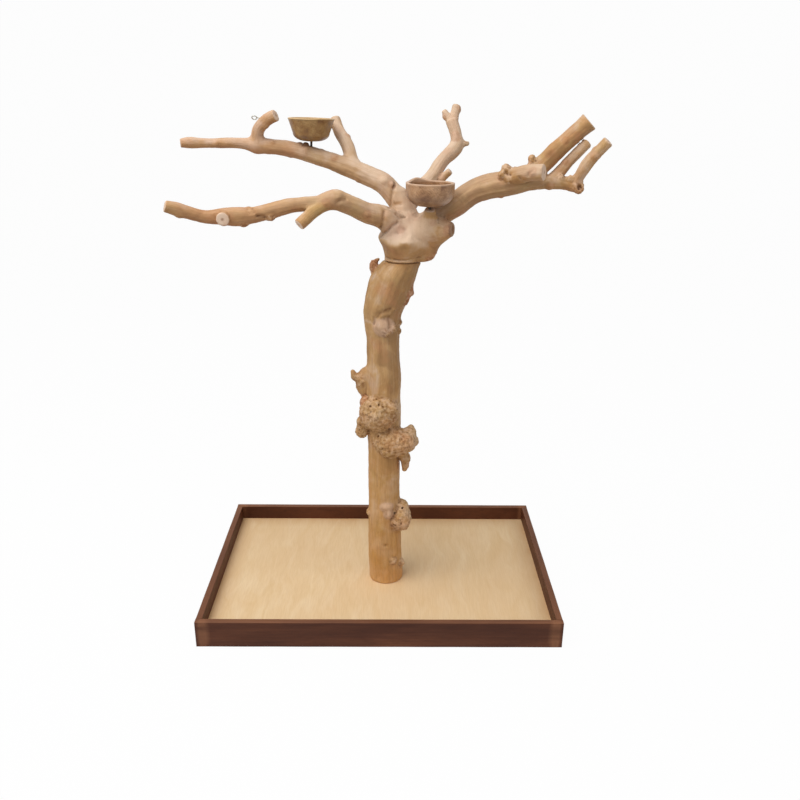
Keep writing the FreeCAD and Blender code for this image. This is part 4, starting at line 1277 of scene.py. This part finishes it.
# Painted shade along the sharp creases, with the real dark top of the twig stump.
fold_shade_and_dark_ends = np.maximum(0.4 * near_paths(points, sharp, 6 * mm), dark_top)
way = outward_ways(points, faces)
sawn = near(over_seat, 1.2 * mm) * (way[:, 2] < -0.7)
for name, (at, out) in ends.items():
    past = (points - at) @ out
    aside = np.linalg.norm(points - at - past[:, None] * out, axis=1)
    within = aside < limbs[name][-1, 3] + 2 * mm
    facing = way @ out
    if name == BROKEN_END:
        fold_shade_and_dark_ends = np.maximum(fold_shade_and_dark_ends, 0.42 * (past > -8 * mm) * within
                             * np.clip((facing - 0.1) / 0.5, 0, 1))
    else:
        on_cut = near(np.abs(past) - 0.8 * mm, 1.2 * mm) * within
        sawn = np.maximum(sawn, on_cut * np.clip((facing - 0.45) / 0.3, 0, 1))
    still = np.maximum(still, near(np.abs(past), 2 * mm) * within * (facing > 0.5))


def away_from(place):
    """How far each of the crown's points is from a place given in mm from the seat's centre."""
    return np.linalg.norm(points - seat - np.array(place) * mm, axis=1)


on_hub = np.clip(1.6 - away_from((8, 0, 60)) / (70 * mm), 0, 0.75)
points = weathered(points, faces, grain, radius, knotty, still, on_hub)
points[:, 2] = np.maximum(points[:, 2], seat[2])
over_seat = points[:, 2] - seat[2]
pairs = edges_of(faces)
limb_shades = [(TONES.get(name, COMMON_TONE), ASHEN.get(name, 0.0)) for name in LIMBS]
shades = np.array([(HUB_TONE, 0.0)] + limb_shades)[limb_of]
for _ in range(8):
    shades = neighbour_mean(shades, pairs, len(points))
tone, ashen = shades.T
# Painted shade and light: browner low on the hub under its overhanging ridge, browner on faces turned
# down and paler on those turned up, browner on top of the right bowl's pad in the bowl's shadow, and
# paler over the hub's ridge where the lamp lights it.
shade_low, shade_high, pad_low = 40 * mm, 56 * mm, 104 * mm
off_pad = np.linalg.norm(points[:, :2] - seat[:2] - np.array((61, -60)) * mm, axis=1)
tone = tone + 0.55 * np.clip((shade_high - over_seat) / (shade_high - shade_low), 0, 1)
tone -= 0.42 * outward_ways(points, faces)[:, 2]
tone -= 0.35 * np.clip(1.8 - away_from((8, 0, 80)) / (90 * mm), 0, 1) * (over_seat > shade_high)
tone += 0.9 * np.clip((over_seat - pad_low) / (8 * mm), 0, 1) * np.clip(4 - off_pad / (7 * mm), 0, 1)
far_left = np.clip((seat[0] - 210 * mm - points[:, 0]) / (120 * mm), 0, 1)
ruddy_knots = [egg_at(seat, c, h) for c, h, *_, mark in CROWN_KNOTS if mark == "ruddy"]
ruddy = np.maximum(knot_shares(points, ruddy_knots, 6 * mm), 0.5 * knot_shares(points, scars, 3 * mm))
# Faces turned down get the ruddy tint as painted shade; the far left limbs get some of it as well.
ruddy = np.maximum(ruddy, 0.30 * np.clip(-way[:, 2], 0, 1) + 0.40 * far_left)
# The pale grey share is the limbs' own paleness and a painted highlight: it grows on faces turned up, and
# the hub gets it on faces turned up.
ashen = np.maximum((0.26 + 0.26 * way[:, 2]) * ashen * (1 - 0.6 * far_left),
                   0.8 * on_hub * np.clip(way[:, 2] + 0.4, 0, 1))
off_blush = np.linalg.norm((points - seat - np.array((-22, -52, 78)) * mm) / (34, 40, 26), axis=1)
# The hollow share is painted shade in small hollows and along sharp creases, with the real dark stump top
# and broken end; the dip share is painted shade in broad hollows, less on the hub.
crown_fork = wood_mesh(
    "crown_fork", points, faces, grain, sawn=sawn, knotty=knotty, meeting=np.maximum(meeting, on_hub),
    tone=tone, rosy=np.clip(2 * near(off_blush, mm), 0, 1), ruddy=ruddy, ashen=ashen, amber=0.06,
    hollow=np.maximum(hollowness(points, faces, 5, 2.2 * mm), fold_shade_and_dark_ends),
    dip=hollowness(points, faces, 36, 8 * mm) * (1 - 0.7 * on_hub))
place_piece(crown_fork, "crown", tree_wood, "crown")

# ---------------------------------------------------------------- bowls
# Two turned wooden feeding bowls: the left one of olive-brown figured wood with straight flared sides, the
# right one of rosy wood with a rounder side and a natural edge. Each is left with a thin satin finish.
bowl_sides = 144
bowl_height, bowl_wall, bowl_floor, bowl_rim = 52 * mm, 8 * mm, 11 * mm, 55.5 * mm
left_foot = seat + np.array((-219, 71, 258)) * mm
right_foot = seat + np.array((60, -64, 132)) * mm


def bowl_outline(shoulder, foot_radius, shoulder_height):
    """A bowl's half section, from the middle of its underside round the rim to the middle of its inside."""
    turn = np.linspace(0, math.pi / 2, 14)
    outside = np.stack((foot_radius + (shoulder - foot_radius) * np.sin(turn),
                        shoulder_height * (1 - np.cos(turn))), axis=1)
    side = np.linspace(0.1, 0.96, 12)[:, None]
    outer_side = outside[-1] + (np.array((bowl_rim, bowl_height)) - outside[-1]) * side
    curl = np.linspace(-0.15, math.pi + 0.1, 10)
    lip_size = np.array((bowl_wall / 2, bowl_wall / 2 * 0.6))
    lip_middle = np.array((bowl_rim, bowl_height)) - lip_size
    lip = lip_middle + np.stack((np.cos(curl), np.sin(curl)), axis=1) * lip_size
    inner_shoulder = np.array((shoulder - bowl_wall, shoulder_height + bowl_wall / 2))
    inner_side = inner_shoulder + (lip[-1] - inner_shoulder) * side[::-1]
    inner_foot = foot_radius - bowl_wall / 2
    inside = np.stack((inner_foot + (inner_shoulder[0] - inner_foot) * np.sin(turn[::-1]),
                       bowl_floor + (inner_shoulder[1] - bowl_floor) * (1 - np.cos(turn[::-1]))), axis=1)
    under = np.stack((np.linspace(5.2 * mm, foot_radius * 0.96, 6), np.full(6, 0.2 * mm)), axis=1)
    bottom = np.stack((np.linspace(inner_foot * 0.95, 0.3 * mm, 8), np.full(8, bowl_floor)), axis=1)
    bore = np.array(((0.3 * mm, 9 * mm), (5.15 * mm, 9 * mm)))
    return np.concatenate((bore, under, outside, outer_side, lip, inner_side, inside, bottom))


def bowl_points(outline, centre, lean, rise, rise_turn, waver, place):
    """The outline turned about the stud's line, out of round by waver, as noise at a place gives it, its
    rim lifted in a soft hump on one side."""
    points = turned_points(outline, bowl_sides, (0, 0, 0))
    turn = np.arange(bowl_sides) / bowl_sides * 2 * math.pi
    height = np.clip(points[..., 2] / outline[:, 1].max(), 0, 1)
    ring = np.stack((np.cos(turn) * 1.6, np.sin(turn) * 1.6, np.full(bowl_sides, place)), axis=1)
    wave = rolling(ring) + 0.5 * rolling(ring * 2.7)
    away = np.abs((turn - rise_turn + math.pi) % (2 * math.pi) - math.pi)
    hump = rise * np.exp(-(away / 0.38) ** 2)
    points[..., :2] *= 1 + waver * wave[None, :, None] * height[..., None] ** 2
    points[..., 2] += (hump + waver * 0.03 * wave) * height**4
    return leaned(points, lean, centre)


def bowl_finish(name, dark, middle, pale, rim_shade, centre, turned):
    """Figured wood under a thin satin finish: growth bands that the turning has cut across, blotches and
    pores."""
    f = Finish(name)
    at = f.shift(f.place(), tuple(-c for c in centre))
    tilted = f.stretch(at, (1, 1, 1), turned)
    across = f.times(f.split(tilted)[0], 300.0)
    band = f.sum("SINE", f.sum("ADD", across, f.times(f.noise(tilted, 22.0, 3.0, 0.5), 24.0)))
    blotch = f.noise(at, 34.0, 4.0, 0.6, 0.5)
    fine = f.noise(f.stretch(tilted, (700.0, 700.0, 40.0)), 1.0, 3.0, 0.6)
    colour = f.ramp(blotch, (0.32, linear(*dark)), (0.50, linear(*middle)), (0.68, linear(*pale)))
    colour = f.tint(colour, band, (0.1, 0.0), (0.9, 0.20), dark)
    darker = tuple(c * 0.5 for c in linear(*dark)[:3]) + (1.0,)
    colour = f.mix(f.ramp(fine, (0.40, 0.4), (0.52, 0.0)), colour, darker)
    up = f.split(at)[2]
    low = f.sum("MULTIPLY_ADD", blotch, 0.5, f.times(up, 1 / bowl_height))
    colour = f.tint(colour, low, (0.30, 0.55), (0.85, 0.0), dark)
    rim = f.sum("MULTIPLY_ADD", up, 1 / (8 * mm), 1 - bowl_height / (8 * mm))
    colour = f.tint(colour, rim, (0.40, 0.0), (0.85, 0.75), rim_shade)
    normal = f.bump(f.noise(f.stretch(at, (1.0, 1.0, 900.0)), 1.0, 2.0), 0.1 * mm, 0.4)
    rough = f.sum("MULTIPLY_ADD", blotch, 0.2, 0.34)
    return f.done(colour, normal, Roughness=rough, Specular_IOR_Level=0.4, Coat_Weight=0.15,
                  Coat_Roughness=0.3)


left_lean, left_gap, right_gap = math.radians(1.4), 10 * mm, 5 * mm
left_bottom = left_foot + np.array((math.sin(left_lean), 0.0, math.cos(left_lean))) * left_gap
right_bottom = right_foot + np.array((0, 0, right_gap))
# Each bowl: its bottom's centre and lean, its outline's shoulder, foot and shoulder height, its rim's hump
# and waver, its wood and shades, and how the grain is turned.
for node, bottom, lean, sizes, rim, wood, shades, turned in (
        ("left_bowl", left_bottom, left_lean, (43.5 * mm, 13 * mm, 18 * mm), (1.2 * mm, -1.0, 0.010, 3.0),
         "olive_bowl_wood", ((116, 76, 38), (156, 116, 64), (180, 144, 90), (198, 164, 112)),
         (0.5, 0.3, 0.2)),
        ("right_bowl", right_bottom, 0.0, (55.5 * mm, 20 * mm, 33 * mm),
         (7 * mm, math.radians(125), 0.012, 8.0),
         "rosy_bowl_wood", ((118, 78, 50), (168, 126, 88), (190, 150, 114), (196, 162, 132)),
         (0.2, 0.9, 0.4))):
    bowl = bar_mesh(node + "_turned", bowl_points(bowl_outline(*sizes), bottom, lean, *rim))
    place_piece(bowl, node, bowl_finish(wood, *shades, bottom, turned), node)

# ---------------------------------------------------------------- bowl studs
# A hanger bolt under each bowl: a dark steel thread that stands out of the limb and screws into the bowl.
dark_steel = steel_finish("dark_steel", linear(92, 86, 80), 0.42)
for node, at, lean, gap in (("left_bowl_stud", left_foot, left_lean, left_gap),
                            ("right_bowl_stud", right_foot, 0.0, right_gap)):
    thread = thread_points(3 * mm, 1.0 * mm, 0.45 * mm, -24 * mm, gap + 8 * mm, at, lean=lean)
    place_piece(bar_mesh(node + "_thread", thread), "crown", dark_steel, node)

# ---------------------------------------------------------------- toy eye
# A screw eye of bright wire, bent round to an open ring and screwed into the stub of the upper left limb.
eye_centre = seat + np.array((-348, 52, 320)) * mm
eye_radius, wire_radius, shank_length, eye_turn = 5.6 * mm, 1.2 * mm, 22 * mm, math.radians(45)


def tube_points(path, radius, sides=16):
    """A round bar along a path: at each point a ring square to the path, that keeps its turn from point
    to point."""
    heading, side, _ = limb_frames(path)
    across = np.cross(heading, side)
    turn = np.arange(sides) / sides * 2 * math.pi
    rings = np.cos(turn)[None, :, None] * side[:, None] + np.sin(turn)[None, :, None] * across[:, None]
    return path[:, None] + rings * np.broadcast_to(radius, len(path))[:, None, None]


sweep = np.radians(np.linspace(335, 14, 60))
ring_path = np.stack((np.cos(sweep), np.zeros(60), np.sin(sweep)), axis=1) * eye_radius
shank_x = np.linspace(eye_radius + 1.6 * mm, eye_radius + shank_length - 0.6 * mm, 150)
shank_path = np.stack((shank_x, np.zeros(150), np.zeros(150)), axis=1)
path = np.concatenate((ring_path, shank_path))
travel = np.concatenate((np.zeros(60), shank_x - shank_x[0]))
screwed = np.clip((travel - 6 * mm) / (2 * mm), 0, 1)
point = np.clip((travel[-1] - travel) / (4 * mm), 0.15, 1)
wire = (wire_radius - screwed * 0.3 * mm * (0.5 + 0.5 * np.sin(travel / (1.3 * mm) * 2 * math.pi))) * point
eye = tube_points(path, wire)
x, y, z = np.moveaxis(eye, -1, 0)
cosine, sine = math.cos(eye_turn), math.sin(eye_turn)
eye = np.stack((x, y * cosine - z * sine, y * sine + z * cosine), axis=-1) + eye_centre
bright_wire = steel_finish("bright_wire", linear(176, 172, 160), 0.28)
place_piece(bar_mesh("toy_eye_wire", eye), "crown", bright_wire, "toy_eye")
